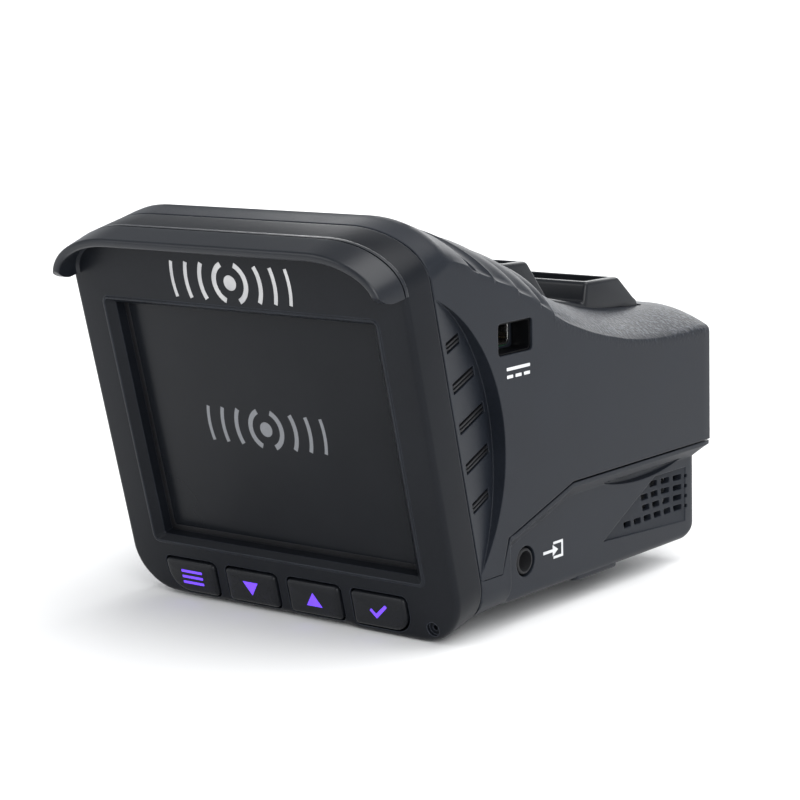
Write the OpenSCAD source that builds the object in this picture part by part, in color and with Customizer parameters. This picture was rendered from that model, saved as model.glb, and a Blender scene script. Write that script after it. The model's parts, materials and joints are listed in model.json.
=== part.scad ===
// Windscreen radar detector with a tilted colour screen, four front keys and a top mount cradle.
// X runs across the screen, +Y towards the road, +Z up. The origin is on the surface it stands on.

/* [Screen] */
// Width of the screen opening
screen_w = 58; // [50:0.5:64]
// Height of the screen opening
screen_h = 44.4; // [38:0.2:46]
// Lean of the screen, its top edge towards the viewer
screen_tilt = 12.7; // [6:0.1:16]
// Depth of the window behind the front face
window_depth = 3.1; // [2.6:0.1:3.6]

/* [Front frame] */
// Width of the front frame
front_w = 74.4; // [72:0.2:90]
// Top edge of the front frame above the screen's centre
front_above = 36.6; // [34:0.2:44]
// Bottom edge of the front frame below the screen's centre
front_below = 34; // [33.4:0.2:40]
// Depth of the front frame
front_depth = 7; // [6.6:0.1:9]
// Radius of the frame's two upper corners
corner_top = 10; // [6:0.5:14]
// Radius of the frame's two lower corners
corner_bottom = 9; // [6:0.5:9.5]
// Thickness of the frame's front wall
face_wall = 2.2; // [1.8:0.1:2.6]

/* [Sun visor] */
// How far the visor stands out of the front face
visor_reach = 5.4; // [3:0.2:12]
// Thickness of the visor
visor_wall = 1.6; // [1.2:0.1:2.4]
// Length of the visor's side cheeks, down from the top edge
visor_drop = 9.1; // [8:0.1:20]

/* [Keys] */
// Width of one key
key_w = 11.6; // [9:0.1:12.4]
// Height of one key
key_h = 6.1; // [5:0.1:6.4]
// Distance between two keys' centres
key_pitch = 14.4; // [14:0.1:15]
// How far a key stands out of the face
key_proud = 0.6; // [0.5:0.1:1.2]
// Travel of a key
key_travel = 0.4; // [0.2:0.05:0.45]
// Gap round a key
key_gap = 0.25; // [0.15:0.05:0.4]

/* [Housing] */
// Length from the screen's centre to the road end
body_reach = 84.9; // [84:0.5:100]
// Wall of both shells
wall = 2; // [1.6:0.1:2.4]
// Height of the roof at the road end, above the screen's centre
road_top = 15; // [14:0.5:17]
// Underside of the lower shell, below the screen's centre
base_below = 28.8; // [28:0.2:29.4]
// Inset of the lower shell's sides
lower_inset = 1.2; // [0.6:0.1:1.6]
// Inset of the lower shell's road end
lower_setback = 3.4; // [2:0.2:5]
// Height of the joint between the shells, below the screen's centre
joint_below = 10.6; // [9.6:0.2:11]

/* [Mount cradle] */
// Width of the cradle
cradle_w = 52; // [44:1:54]
// Clear length of the cradle's screen-side pocket
pocket_front = 4.6; // [4.4:0.1:5]
// Clear length of the cradle's road-side pocket
pocket_rear = 8; // [6:0.2:8.4]
// Wall round the pockets
pocket_wall = 1.3; // [1:0.1:1.6]

/* [Sockets] */
// Radius of the video jack's bore
jack_r = 1.8; // [1.78:0.01:1.85]
// Depth of the video jack's bore
jack_depth = 11.5; // [8:0.5:12]
// Width of the power port's cut-out
port_w = 9.7; // [9:0.1:10.4]
// Height of the power port's cut-out
port_h = 5.5; // [5:0.1:6]

/* [Fasteners and feet] */
// Radius of a case screw's shank
screw_r = 1; // [0.8:0.05:1.2]
// Clearance between a part and its neighbour
fit_gap = 0.15; // [0.1:0.05:0.25]

/* [Hidden] */
$fn = 64;
eps = 0.01;
big = 200;

// The screen's centre on the front face is the working origin; place() sets it over the floor.
half_w = front_w / 2;
lip_y = -visor_reach * cos(screen_tilt) - front_above * sin(screen_tilt);
middle_y = (lip_y + body_reach) / 2;
floor_z = front_below * cos(screen_tilt);

// Roof and edge rounding along the body, as [y, value]
collar_depth = 5;
crest_n = front_depth + collar_depth;
crest = [crest_n * cos(screen_tilt) - front_above * sin(screen_tilt),
    crest_n * sin(screen_tilt) + front_above * cos(screen_tilt)];
roof_line = [[crest[0] - 12, crest[1] - 12 * tan(screen_tilt)], crest, [32, 27.6], [49, 19.8],
    [64, 16.8], [body_reach, road_top]];
round_across = [[crest[0], corner_top], [crest[0] + 8, 9], [49, 9], [body_reach, 14]];
round_down = [[crest[0], corner_top - 1.5], [crest[0] + 8, 6.5], [49, 6.2], [body_reach, 4.8]];
roof_stations = [crest[0] - 12, crest[0] - 6, crest[0], crest[0] + 4, crest[0] + 8, 20, 26, 32, 38, 44,
    49, 56, 64, 74];

// Joint line between the shells, as [y, z]
neck_y = 18.3;
neck_z = -22.6;
joint_line = [[-20, neck_z], [neck_y, neck_z], [neck_y + 1.9, neck_z + 5.8], [39.5, -joint_below],
    [big, -joint_below]];
joint_gap = 0.2;
neck_end = neck_y + 1.5;
lower_half = half_w - lower_inset;
lower_end = body_reach - lower_setback;
lower_round = 3.5;
rear_round = 4;

// Side scoop and its louvres
scoop_r = 30;
scoop_n = -10.3;
scoop_v = 0.5;
scoop_deep = 3.2;
louvre_first = 15.9;
louvre_pitch = 7.05;
louvre_count = 5;
louvre_h = 1.9;
louvre_start = front_depth + 1.4;
louvre_rib = 0.32;
pad_n = front_depth + 3.8;

// Screen stack, measured inwards from the front face
window_t = 1.1;
window_lap = 2;
panel_n = window_depth + window_t + 0.1;
panel_t = 1.6;
light_t = 2;
sheet = 0.3;
panel_w = screen_w + 5;
panel_h = screen_h + 3.2;
tray_w = panel_w + 0.6 + 2 * sheet;
tray_h = panel_h + 0.6 + 2 * sheet;
tray_end = panel_n + panel_t + light_t + 0.1 + sheet;
bracket_n = tray_end + 0.05;
bracket_t = 1.2;
post_u = half_w - 3.5;
post_v = 17;
post_r = 1.4;

// Key train, measured inwards from the front face
key_v = -29.45;
key_mid = -1.3;
key_u = [for (i = [0:3]) key_mid + (i - 1.5) * key_pitch];
flange_n = face_wall + 0.05;
flange_t = 1;
flange_w = 0.9;
post_end = 5;
stem_r = 1;
stem_n = post_end + 0.05;
stem_l = 1.25;
switch_n = 5.6;
switch_t = 1.6;
key_board_n = switch_n + switch_t;

// Boards and what they carry
port_y = 23.1;
port_z = 16.9;
port_deep = 4.2;
socket_w = 7.7;
socket_h = 3.9;
socket_l = 9;
main_z = port_z - socket_h / 2;
board_t = 1.4;
jack_y = 26.6;
jack_z = -22.3;
jack_nose = 2.5;
jack_body_h = 5.8;
lower_top = jack_z - jack_body_h / 2;
lower_t = 1.2;

// Case screws, speaker and the road end
boss_x = half_w - 6.2;
boss_y = [35, 52];
boss_r = 3;
boss_start = 0.6 - joint_below;
boss_short = 0.3;
speaker_y = 68;
speaker_z = -18.3;
speaker_r = 7.3;
road_half = 31;
road_low = -8.4;
road_high = 8.2;
camera_x = 23.5;
camera_r = 6.2;
laser_x = -23.5;
laser_r = 4.6;
foot_x = 15;
foot_y = lower_end - 12;
foot_r = 5;

// Cradle outline along the body, as [y, height over the floor of the valley]
ridge_y = 35.4;
ridge_z = 27;
pocket_y = ridge_y + pocket_wall;
ridge_end = pocket_y + pocket_front + pocket_wall;
valley_y = ridge_end + 6;
rear_y = 60.6;
rear_z = 21;
rear_pocket_y = rear_y + pocket_wall;
rear_end = rear_pocket_y + pocket_rear + pocket_wall;
cradle_end = rear_end + 6.4;
skin = 2.4;
pocket_deep = 4.8;

// ---------- placing and outlines ----------

module place() {
    translate([0, -middle_y, floor_z]) children();
}

// Puts a flat outline on the front face: u across, v up the screen, height out of the face
module on_face(out = 0) {
    rotate([90 + screen_tilt, 0, 0]) translate([0, 0, out]) children();
}

// Extrudes an outline inwards from one depth behind the face to another
module inward(from, to) {
    on_face(-to) linear_extrude(to - from) children();
}

// Extrudes a [y, z] outline across the body
module across(x0, x1) {
    translate([x0, 0, 0]) rotate([90, 0, 90]) linear_extrude(x1 - x0) children();
}

// Rectangle with its own radius at each corner: lower left, lower right, upper right, upper left
module panel(x0, x1, y0, y1, r) {
    corners = [[x0, y0, 1, 1], [x1, y0, -1, 1], [x1, y1, -1, -1], [x0, y1, 1, -1]];
    difference() {
        translate([x0, y0]) square([x1 - x0, y1 - y0]);
        for (i = [0:3])
            if (r[i] > 0)
                translate([corners[i][0], corners[i][1]])
                    corner_waste(corners[i][2], corners[i][3], r[i]);
    }
}

module corner_waste(sx, sy, r) {
    mirror([sx < 0 ? 1 : 0, 0]) mirror([0, sy < 0 ? 1 : 0])
        difference() {
            translate([-1, -1]) square(r + 1);
            translate([r, r]) circle(r);
        }
}

module box(x0, x1, y0, y1, z0, z1) {
    translate([x0, y0, z0]) cube([x1 - x0, y1 - y0, z1 - z0]);
}

module front_outline(inset = 0) {
    panel(-half_w + inset, half_w - inset, -front_below + inset, front_above - inset,
        [corner_bottom - inset, corner_bottom - inset, corner_top - inset, corner_top - inset]);
}

module centred(w, h, r = 0) {
    panel(-w / 2, w / 2, -h / 2, h / 2, [r, r, r, r]);
}

// ---------- the two shells ----------

arc_steps = 8;

function section(y, inset) =
    let (
        hw = half_w - inset,
        top = lookup(y, roof_line) - inset,
        rx = lookup(y, round_across) - inset,
        rz = lookup(y, round_down) - inset,
        arc = [for (i = [0:arc_steps]) [hw - rx + rx * cos(90 * i / arc_steps),
            top - rz + rz * sin(90 * i / arc_steps)]]
    )
    concat([[hw, -front_below - 6]], arc, [for (i = [arc_steps:-1:0]) [-arc[i][0], arc[i][1]]],
        [[-hw, -front_below - 6]]);

module loft(stations, inset) {
    rings = [for (y = stations) section(y, inset)];
    n = len(rings[0]);
    last = (len(stations) - 1) * n;
    polyhedron(
        points = [for (s = [0:len(stations) - 1]) each [for (p = rings[s]) [p[0], stations[s], p[1]]]],
        faces = concat(
            [[for (i = [n - 1:-1:0]) i]],
            [[for (i = [0:n - 1]) last + i]],
            [for (s = [0:len(stations) - 2], i = [0:n - 1])
                let (a = s * n + i, b = s * n + (i + 1) % n) [a, b, b + n, a + n]]));
}

module behind_frame() {
    on_face(-front_depth - big) translate([-big / 2, -big / 2, 0]) cube([big, big, big]);
}

module above_joint() {
    across(-big / 2, big / 2) polygon(concat(joint_line, [[big, big], [-20, big]]));
}

module below_joint() {
    across(-big / 2, big / 2)
        translate([joint_gap, -joint_gap]) polygon(concat(joint_line, [[big, -big], [-20, -big]]));
}

// Air scoop cut in one side, deeper towards the road
module scoop() {
    intersection() {
        rotate([screen_tilt, 0, 0])
            translate([0, scoop_n, scoop_v]) rotate([0, 90, 0]) cylinder(r = scoop_r, h = big / 2);
        rotate([screen_tilt, 0, 0])
            translate([0, 0, -scoop_r]) linear_extrude(2 * scoop_r + 2)
                polygon([[half_w, front_depth], [half_w + 5, front_depth],
                    [half_w + 5, scoop_n + scoop_r + 1],
                    [half_w - scoop_deep, scoop_n + scoop_r + 1]]);
    }
}

function louvre_v(i) = louvre_first - i * louvre_pitch;
function louvre_end(i) = scoop_n + sqrt(scoop_r * scoop_r - pow(abs(louvre_v(i) - scoop_v) + 1, 2)) - 1.6;

// Openings of the louvres, seen from the side
module louvre_windows() {
    for (i = [0:louvre_count - 1])
        translate([louvre_start, louvre_v(i) - louvre_h / 2])
            square([louvre_end(i) - louvre_start, louvre_h]);
}

// Turns an [inwards, up the screen] outline into a slab across one side wall
module through_side(x0, x1) {
    rotate([screen_tilt, 0, 0]) translate([x0, 0, 0]) rotate([90, 0, 90]) linear_extrude(x1 - x0) children();
}

// Thicker wall behind the deep end of a scoop
module scoop_pad() {
    intersection() {
        translate([scoop_n, scoop_v]) circle(scoop_r + 1.5);
        translate([pad_n, scoop_v - scoop_r]) square([scoop_r, 2 * scoop_r]);
    }
}

module port_outline(margin = 0) {
    panel(port_y - port_w / 2 - margin, port_y + port_w / 2 + margin, port_z - port_h / 2 - margin,
        port_z + port_h / 2 + margin, [0.8, 0.8, 0.8, 0.8]);
}

module road_outline(inset = 0) {
    panel(-road_half + inset, road_half - inset, road_low + inset, road_high - inset, [3, 3, 3, 3]);
}

module along_road(y0, y1) {
    translate([0, y1, 0]) rotate([90, 0, 0]) linear_extrude(y1 - y0) children();
}

module upper_shell() {
    color("#2b2d31") place() difference() {
        union() {
            intersection() {
                difference() {
                    loft(concat(roof_stations, [body_reach]), 0);
                    loft(concat([crest[0] - 13], roof_stations, [body_reach - wall]), wall);
                }
                behind_frame();
                above_joint();
            }
            for (side = [-1, 1], y = boss_y)
                translate([side * boss_x, y, boss_start])
                    cylinder(r = boss_r, h = lookup(y, roof_line) - wall - boss_short - boss_start);
            across(half_w - port_deep, half_w - wall + eps) port_outline(1);
            through_side(half_w - wall - scoop_deep, half_w - wall + eps) scoop_pad();
            through_side(-half_w + wall - eps, -half_w + wall + scoop_deep) scoop_pad();
        }
        scoop();
        mirror([1, 0, 0]) scoop();
        through_side(half_w - 12, half_w + 1) louvre_windows();
        through_side(-half_w - 1, -half_w + 12) louvre_windows();
        across(half_w - port_deep - 1, half_w + 1) port_outline();
        box(-cradle_w / 2 - fit_gap, cradle_w / 2 + fit_gap, ridge_y - 1 - fit_gap, cradle_end + fit_gap, 8, 60);
        along_road(body_reach - wall - 1, body_reach + 1) road_outline(1.2);
        along_road(body_reach - wall / 2 - 0.2, body_reach + 1) road_outline(-fit_gap);
        for (side = [-1, 1], y = boss_y)
            translate([side * boss_x, y, -joint_below]) cylinder(r = screw_r - 0.1, h = 12);
    }
}

module lower_outer() {
    intersection() {
        across(-big / 2, big / 2) panel(neck_end - eps, lower_end, -base_below, 0, [0, rear_round, 0, 0]);
        along_road(-20, big) panel(-lower_half, lower_half, -base_below, 0, [lower_round, lower_round, 0, 0]);
    }
    intersection() {
        inward(front_depth, front_depth + 14) front_outline();
        box(-big / 2, big / 2, -20, neck_end, -big / 2, neck_z + 1);
    }
}

module lower_inner() {
    intersection() {
        across(-big / 2, big / 2) panel(neck_end - 14, lower_end - wall, -base_below + wall, 2,
            [0, rear_round - wall, 0, 0]);
        along_road(-20, big) panel(-lower_half + wall, lower_half - wall, -base_below + wall, 2,
            [lower_round - wall, lower_round - wall, 0, 0]);
    }
    intersection() {
        inward(front_depth - 1, front_depth + 15) front_outline(wall);
        box(-big / 2, big / 2, -20, neck_end - wall, -big / 2, neck_z + 3);
    }
}

// Triangular field of small sound holes in the right side
grille_pitch_y = 3.25;
grille_pitch_z = 2.15;
grille_hole = [2.1, 1.15];
grille_y = 79.2;
grille_z = -13.8;
grille_long = 26;
grille_high = 9.8;

module grille_field() {
    polygon([[grille_y, grille_z], [grille_y, grille_z - grille_high],
        [grille_y - grille_long, grille_z - grille_high], [grille_y - grille_high, grille_z - 0.2]]);
}

module grille_holes() {
    for (row = [0:3], col = [0:6]) {
        y = grille_y - 1.5 - col * grille_pitch_y;
        z = grille_z - 1.7 - row * grille_pitch_z;
        reach = grille_high - 3 + (row + 1) * 3.9;
        if (grille_y - y < reach)
            translate([y - grille_hole[0] / 2, z - grille_hole[1] / 2]) square(grille_hole);
    }
}

module lower_shell() {
    color("#2b2d31") place() difference() {
        union() {
            intersection() {
                difference() {
                    lower_outer();
                    lower_inner();
                }
                behind_frame();
                below_joint();
            }
            for (side = [-1, 1], y = boss_y)
                translate([side * boss_x, y, -base_below + wall - eps])
                    cylinder(r = boss_r + 0.1, h = base_below - joint_below - wall + 0.2);
            for (p = board_posts)
                translate([p[0], p[1], -base_below + wall - eps])
                    cylinder(r = 2, h = lower_top - lower_t + base_below - wall + eps);
        }
        for (side = [-1, 1], y = boss_y)
            translate([side * boss_x, y, -base_below - 1]) {
                cylinder(r = screw_r + 0.2, h = 30);
                cylinder(r = screw_r + 1.2, h = 5);
            }
        for (p = board_posts)
            translate([p[0], p[1], -base_below + wall - 1]) cylinder(r = 0.7, h = 6);
        translate([lower_half - wall - 1, jack_y, jack_z]) rotate([0, 90, 0])
            cylinder(r = jack_nose + fit_gap, h = wall + 2);
        across(lower_half - 0.7, lower_half + 1) grille_field();
        across(lower_half - wall - 1, lower_half + 1) grille_holes();
        box(-lower_half - 1, -lower_half + wall + 1, speaker_y - 6.2, speaker_y + 6.2,
            lower_top + 0.2, lower_top + 1.7);
    }
}

// ---------- front frame, visor and screen ----------

// Four-sided funnel from the face opening down to the screen opening
module bevel(wide, deep) {
    intersection() {
        inward(-1, deep) centred(screen_w + 2 * wide, screen_h + 2 * wide);
        rotate([screen_tilt, 0, 0]) {
            translate([0, 0, -big / 4]) linear_extrude(big / 2)
                polygon([[-screen_w / 2, deep], [screen_w / 2, deep],
                    [screen_w / 2 + wide * (deep + 1) / deep, -1],
                    [-screen_w / 2 - wide * (deep + 1) / deep, -1]]);
        }
        rotate([screen_tilt, 0, 0]) {
            across(-big / 4, big / 4)
                polygon([[deep, -screen_h / 2], [deep, screen_h / 2],
                    [-1, screen_h / 2 + wide * (deep + 1) / deep],
                    [-1, -screen_h / 2 - wide * (deep + 1) / deep]]);
        }
    }
}

// Outline of one key: the two outer keys have one large corner each
module key_outline(i, grow = 0) {
    u = key_u[i];
    big_left = i == 0 ? 4.4 : 0.7;
    big_right = i == 3 ? 3 : 0.7;
    panel(u - key_w / 2 - grow, u + key_w / 2 + grow, key_v - key_h / 2 - grow, key_v + key_h / 2 + grow,
        [big_left + grow, big_right + grow, 0.7 + grow, 0.7 + grow]);
}

mic_u = 31.1;
mic_v = -31.2;
tab_u = [-24, 0, 24];
tab_w = 6;
tab_t = 1;
tab_in = 1.6;

module visor_tabs(grow = 0) {
    for (u = tab_u)
        translate([u - tab_w / 2 - grow, front_above - 2 - tab_t - grow])
            square([tab_w + 2 * grow, tab_t + 2 * grow]);
}

module front_frame() {
    color("#1d1e21") place() difference() {
        union() {
            inward(0, front_depth) front_outline();
            for (su = [-1, 1], sv = [-1, 1])
                inward(front_depth - eps, bracket_n) translate([su * post_u, sv * post_v]) circle(post_r);
        }
        inward(-1, window_depth + eps) centred(screen_w, screen_h);
        bevel(1.75, 0.9);
        inward(window_depth, panel_n + eps) centred(screen_w + 2 * window_lap, screen_h + 2 * window_lap);
        inward(panel_n, front_depth + eps) centred(tray_w + 0.4, tray_h + 0.4);
        for (i = [0:3])
            inward(-1, face_wall + eps) key_outline(i, key_gap);
        inward(face_wall, front_depth + eps) panel(key_u[0] - key_w / 2 - 1.4, key_u[3] + key_w / 2 + 1.4,
            key_v - key_h / 2 - key_gap, key_v + key_h / 2 + key_gap, [2.5, 2.5, 0.5, 0.5]);
        inward(-1, 0.8) translate([mic_u, mic_v]) circle(1.2);
        inward(0, face_wall + eps) translate([mic_u, mic_v]) circle(0.5);
        inward(face_wall, front_depth + eps) translate([mic_u, mic_v]) circle(1.5);
        inward(-1, tab_in + 0.3) visor_tabs(fit_gap);
        for (su = [-1, 1], sv = [-1, 1])
            inward(front_depth - 3, bracket_n + 1) translate([su * post_u, sv * post_v]) circle(0.75);
    }
}

module sun_visor() {
    cheek = front_above - visor_drop;
    color("#26282c") place() {
        difference() {
            inward(-visor_reach, 0) intersection() {
                difference() {
                    front_outline();
                    front_outline(visor_wall);
                }
                translate([-half_w - 1, cheek]) square([front_w + 2, visor_drop + 1]);
            }
            rotate([screen_tilt, 0, 0]) across(-half_w - 1, half_w + 1)
                translate([-visor_reach, cheek]) corner_waste(1, 1, 3);
            rotate([screen_tilt, 0, 0]) across(-half_w - 1, half_w + 1)
                translate([0, cheek]) corner_waste(-1, 1, 2);
        }
        inward(-1.4, tab_in) visor_tabs();
        inward(-1.4, 0)
            for (u = tab_u)
                translate([u - tab_w / 2, front_above - 3]) square([tab_w, 2]);
    }
}

module screen_window() {
    color("#0c0d10", 0.6) place()
        inward(window_depth, window_depth + window_t)
            centred(screen_w + 2 * window_lap - 0.2, screen_h + 2 * window_lap - 0.2, 0.8);
}

module lcd_panel() {
    color("#101216") place() inward(panel_n, panel_n + panel_t) centred(panel_w, panel_h);
}

module backlight() {
    color("white") place()
        inward(panel_n + panel_t + 0.05, panel_n + panel_t + 0.05 + light_t) centred(panel_w, panel_h);
}

module lcd_tray() {
    color("silver") place() difference() {
        inward(panel_n + 0.3, tray_end) centred(tray_w, tray_h, 0.6);
        inward(panel_n, tray_end - sheet) centred(tray_w - 2 * sheet, tray_h - 2 * sheet, 0.3);
        inward(tray_end - 1, tray_end + 1) translate([0, -tray_h / 2 + 4]) centred(16, 3, 0.5);
    }
}

module screen_bracket() {
    color("#303338") place() difference() {
        inward(bracket_n, bracket_n + bracket_t)
            centred(2 * (post_u + post_r), 2 * (post_v + 2.4), 2);
        inward(bracket_n - 1, bracket_n + bracket_t + 1) {
            translate([-13, 0]) centred(22, 26, 2);
            translate([13, 0]) centred(22, 26, 2);
        }
        inward(bracket_n - 1, bracket_n + bracket_t + 1)
            for (su = [-1, 1], sv = [-1, 1])
                translate([su * post_u, sv * post_v]) circle(0.95);
    }
}

// Pan head screw along +Z, its head's bearing face at 0
module screw(shank_r, shank_l, head_r, head_h) {
    translate([0, 0, -shank_l]) cylinder(r = shank_r, h = shank_l + eps);
    difference() {
        cylinder(r = head_r, h = head_h);
        for (turn = [0, 90])
            rotate([0, 0, turn]) translate([-head_r * 0.6, -0.2, head_h / 2]) cube([head_r * 1.2, 0.4, head_h]);
    }
}

module bracket_screws() {
    color("silver") place()
        for (su = [-1, 1], sv = [-1, 1])
            rotate([screen_tilt, 0, 0])
                translate([su * post_u, bracket_n + bracket_t, sv * post_v]) rotate([-90, 0, 0])
                    screw(0.7, bracket_t + 3.2, 1.35, 0.9);
}

// ---------- keys ----------

module key(i) {
    color("#232529") place() {
        inward(-key_proud, flange_n + eps) key_outline(i);
        inward(flange_n, flange_n + flange_t)
            translate([key_u[i] - key_w / 2 - flange_w, key_v - key_h / 2 + 1])
                square([key_w + 2 * flange_w, key_h - 2]);
        inward(flange_n, flange_n + flange_t) intersection() {
            key_outline(i, -0.1);
            translate([key_u[i] - key_w / 2, key_v - key_h / 2]) square([key_w, key_h]);
        }
        inward(flange_n + flange_t - eps, post_end) translate([key_u[i], key_v + 1]) circle(1.3);
    }
}

module plunger(i) {
    color("#d8cfa8") place()
        inward(stem_n, stem_n + stem_l) translate([key_u[i], key_v + 1]) circle(stem_r);
}

module key_switches() {
    color("silver") place() difference() {
        inward(switch_n, switch_n + switch_t)
            for (u = key_u)
                translate([u, key_v + 1]) centred(4.4, 4.4, 0.4);
        inward(switch_n - 1, stem_n + stem_l + key_travel + 0.1)
            for (u = key_u)
                translate([u, key_v + 1]) circle(stem_r + 0.1);
    }
}

module key_board() {
    color("#1f5a38") place()
        inward(key_board_n, key_board_n + 1)
            panel(key_u[0] - 6, key_u[3] + 8, key_v - 2, key_v + 4, [0.6, 0.6, 0.6, 0.6]);
}

module microphone() {
    color("silver") place()
        inward(face_wall + 0.05, face_wall + 1.65) translate([mic_u, mic_v]) circle(1.4);
}

// ---------- louvres ----------

// Insert behind one scoop: a backing strip, with a pair of ribs standing in each window
module louvre() {
    back_x = half_w - wall - scoop_deep - 1.05;
    difference() {
        union() {
            through_side(back_x, back_x + 1)
                translate([pad_n, -18]) square([8.4, 38]);
            for (i = [0:louvre_count - 1], side = [-1, 1]) {
                rib_v = louvre_v(i) + side * louvre_h / 6 - louvre_rib / 2;
                rib_end = min(louvre_end(i) - fit_gap, pad_n + 8);
                through_side(back_x + 0.5, half_w - 0.5)
                    translate([pad_n, rib_v]) square([rib_end - pad_n, louvre_rib]);
                through_side(half_w - wall + fit_gap, half_w - 0.5)
                    translate([louvre_start + fit_gap, rib_v]) square([rib_end - louvre_start, louvre_rib]);
            }
        }
        scoop();
    }
}

module louvre_right() {
    color("#17181a") place() louvre();
}

module louvre_left() {
    color("#17181a") place() mirror([1, 0, 0]) louvre();
}

// ---------- mount cradle ----------

module cradle_profile() {
    roof_ridge = lookup(ridge_y - 1, roof_line);
    roof_valley = lookup(valley_y, roof_line) - 0.4;
    roof_rear = lookup(rear_y, roof_line) - 0.4;
    roof_end = lookup(cradle_end, roof_line);
    polygon([
        [ridge_y - 1, ridge_z - pocket_deep - 1.4], [ridge_y - 1, roof_ridge], [ridge_y, ridge_z],
        [ridge_end, ridge_z - 0.2], [valley_y, roof_valley], [rear_y - 0.6, roof_rear],
        [rear_y, rear_z], [rear_end, rear_z - 0.2], [cradle_end - 1.6, roof_end + 0.6],
        [cradle_end, roof_end], [cradle_end, roof_end - skin],
        [rear_end, rear_z - pocket_deep - 1.4], [rear_y, rear_z - pocket_deep - 1.4],
        [valley_y, roof_valley - skin], [pocket_y + pocket_front, ridge_z - pocket_deep - 1.4]]);
}

module mount_cradle() {
    color("#1b1c1f") place() difference() {
        across(-cradle_w / 2, cradle_w / 2) cradle_profile();
        box(-cradle_w / 2 + pocket_wall, cradle_w / 2 - pocket_wall, pocket_y, pocket_y + pocket_front,
            ridge_z - pocket_deep, ridge_z + 5);
        box(-cradle_w / 2 + pocket_wall, cradle_w / 2 - pocket_wall, rear_pocket_y,
            rear_pocket_y + pocket_rear, rear_z - pocket_deep, rear_z + 5);
    }
}

// ---------- boards and sockets ----------

main_y = 14;
wide_y = 20.6;
main_half = half_w - wall - scoop_deep - 1.5;
board_posts = [[-18, 24], [18, 46], [-18, 56], [10, 62]];

module main_board() {
    color("#1f5a38") place() difference() {
        union() {
            box(-main_half, main_half, main_y, wide_y + 1, main_z - board_t, main_z);
            box(-main_half - 2.4, main_half + 2.4, wide_y, 49, main_z - board_t, main_z);
        }
        for (side = [-1, 1])
            translate([side * boss_x, boss_y[0], 0]) cylinder(r = boss_r + 0.4, h = 40);
    }
}

module main_chips() {
    color("#17181a") place() {
        box(-26, -14, 16, 28, main_z, main_z + 1.2);
        box(-26, -16, 31, 39, main_z, main_z + 1);
        box(12, 18, 34, 41, main_z, main_z + 0.9);
        box(-24, -19, 41, 46, main_z, main_z + 1.4);
        box(-6, 6, 36, 46, main_z - board_t - 1.1, main_z - board_t);
    }
}

module gps_antenna() {
    color("#c9b98a") place() {
        box(-9, 9, 15.5, 33.5, main_z, main_z + 4);
        translate([1.5, 25.5, main_z + 4 - eps]) cylinder(r = 1.1, h = 0.4);
    }
}

module power_socket() {
    x1 = half_w - port_deep;
    color("silver") place() difference() {
        across(x1 - socket_l, x1) panel(port_y - socket_w / 2, port_y + socket_w / 2,
            port_z - socket_h / 2, port_z + socket_h / 2, [1, 1, 0.4, 0.4]);
        across(x1 - socket_l + 0.6, x1 + 1) panel(port_y - socket_w / 2 + sheet,
            port_y + socket_w / 2 - sheet, port_z - socket_h / 2 + sheet, port_z + socket_h / 2 - sheet,
            [0.8, 0.8, 0.2, 0.2]);
    }
}

module power_contacts() {
    x1 = half_w - port_deep;
    color("#101113") place() {
        box(x1 - socket_l + 0.6, x1 - 1.2, port_y - 2.6, port_y + 2.6, port_z - 0.1, port_z + 0.75);
    }
}

module video_jack() {
    color("#141517") place() difference() {
        union() {
            box(lower_half - wall - 0.1 - jack_depth, lower_half - wall - 0.1, jack_y - 3, jack_y + 3,
                lower_top, lower_top + jack_body_h);
            translate([lower_half - wall - 0.2, jack_y, jack_z]) rotate([0, 90, 0])
                cylinder(r = jack_nose, h = wall + 0.1);
        }
        translate([lower_half - 0.1 - jack_depth, jack_y, jack_z]) rotate([0, 90, 0])
            cylinder(r = jack_r, h = jack_depth + 1);
    }
}

module jack_contacts() {
    x0 = lower_half - wall - 0.1 - jack_depth;
    color("gold") place()
        for (step = [0:2])
            box(x0 + 1 + step * 3, x0 + 2.2 + step * 3, jack_y - 3.7, jack_y - 3.05, lower_top,
                lower_top + 3.4);
}

module lower_board() {
    color("#1f5a38") place() difference() {
        union() {
            box(-lower_half + wall + 0.8, lower_half - wall - 0.8, 22.5, 58, lower_top - lower_t, lower_top);
            box(-lower_half + wall + 0.8, 20, 57, 77, lower_top - lower_t, lower_top);
        }
        for (side = [-1, 1], y = boss_y)
            translate([side * boss_x, y, -40]) cylinder(r = boss_r + 0.5, h = 40);
        for (p = board_posts)
            translate([p[0], p[1], -40]) cylinder(r = 0.9, h = 40);
    }
}

module lower_chips() {
    color("#17181a") place() {
        box(-8, 2, 24, 32, lower_top, lower_top + 1.2);
        box(6, 14, 25, 31, lower_top, lower_top + 1.6);
        box(-27, -20, 40, 47, lower_top, lower_top + 1);
        translate([26, 43, lower_top]) cylinder(r = 2.6, h = 5.4);
    }
}

module card_socket() {
    color("silver") place() difference() {
        box(-lower_half + wall + 0.5, -lower_half + wall + 15, speaker_y - 7, speaker_y + 7, lower_top,
            lower_top + 1.9);
        box(-lower_half + wall, -lower_half + wall + 14, speaker_y - 5.7, speaker_y + 5.7,
            lower_top + 0.45, lower_top + 1.45);
    }
}

module backup_battery() {
    color("#8d939b") place() box(-14, 14, 34, 53, lower_top + 0.1, lower_top + 4.3);
}

// ---------- speaker ----------

module at_speaker(x) {
    translate([x, speaker_y, speaker_z]) rotate([0, 90, 0]) children();
}

speaker_x = lower_half - wall - 0.1;

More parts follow.
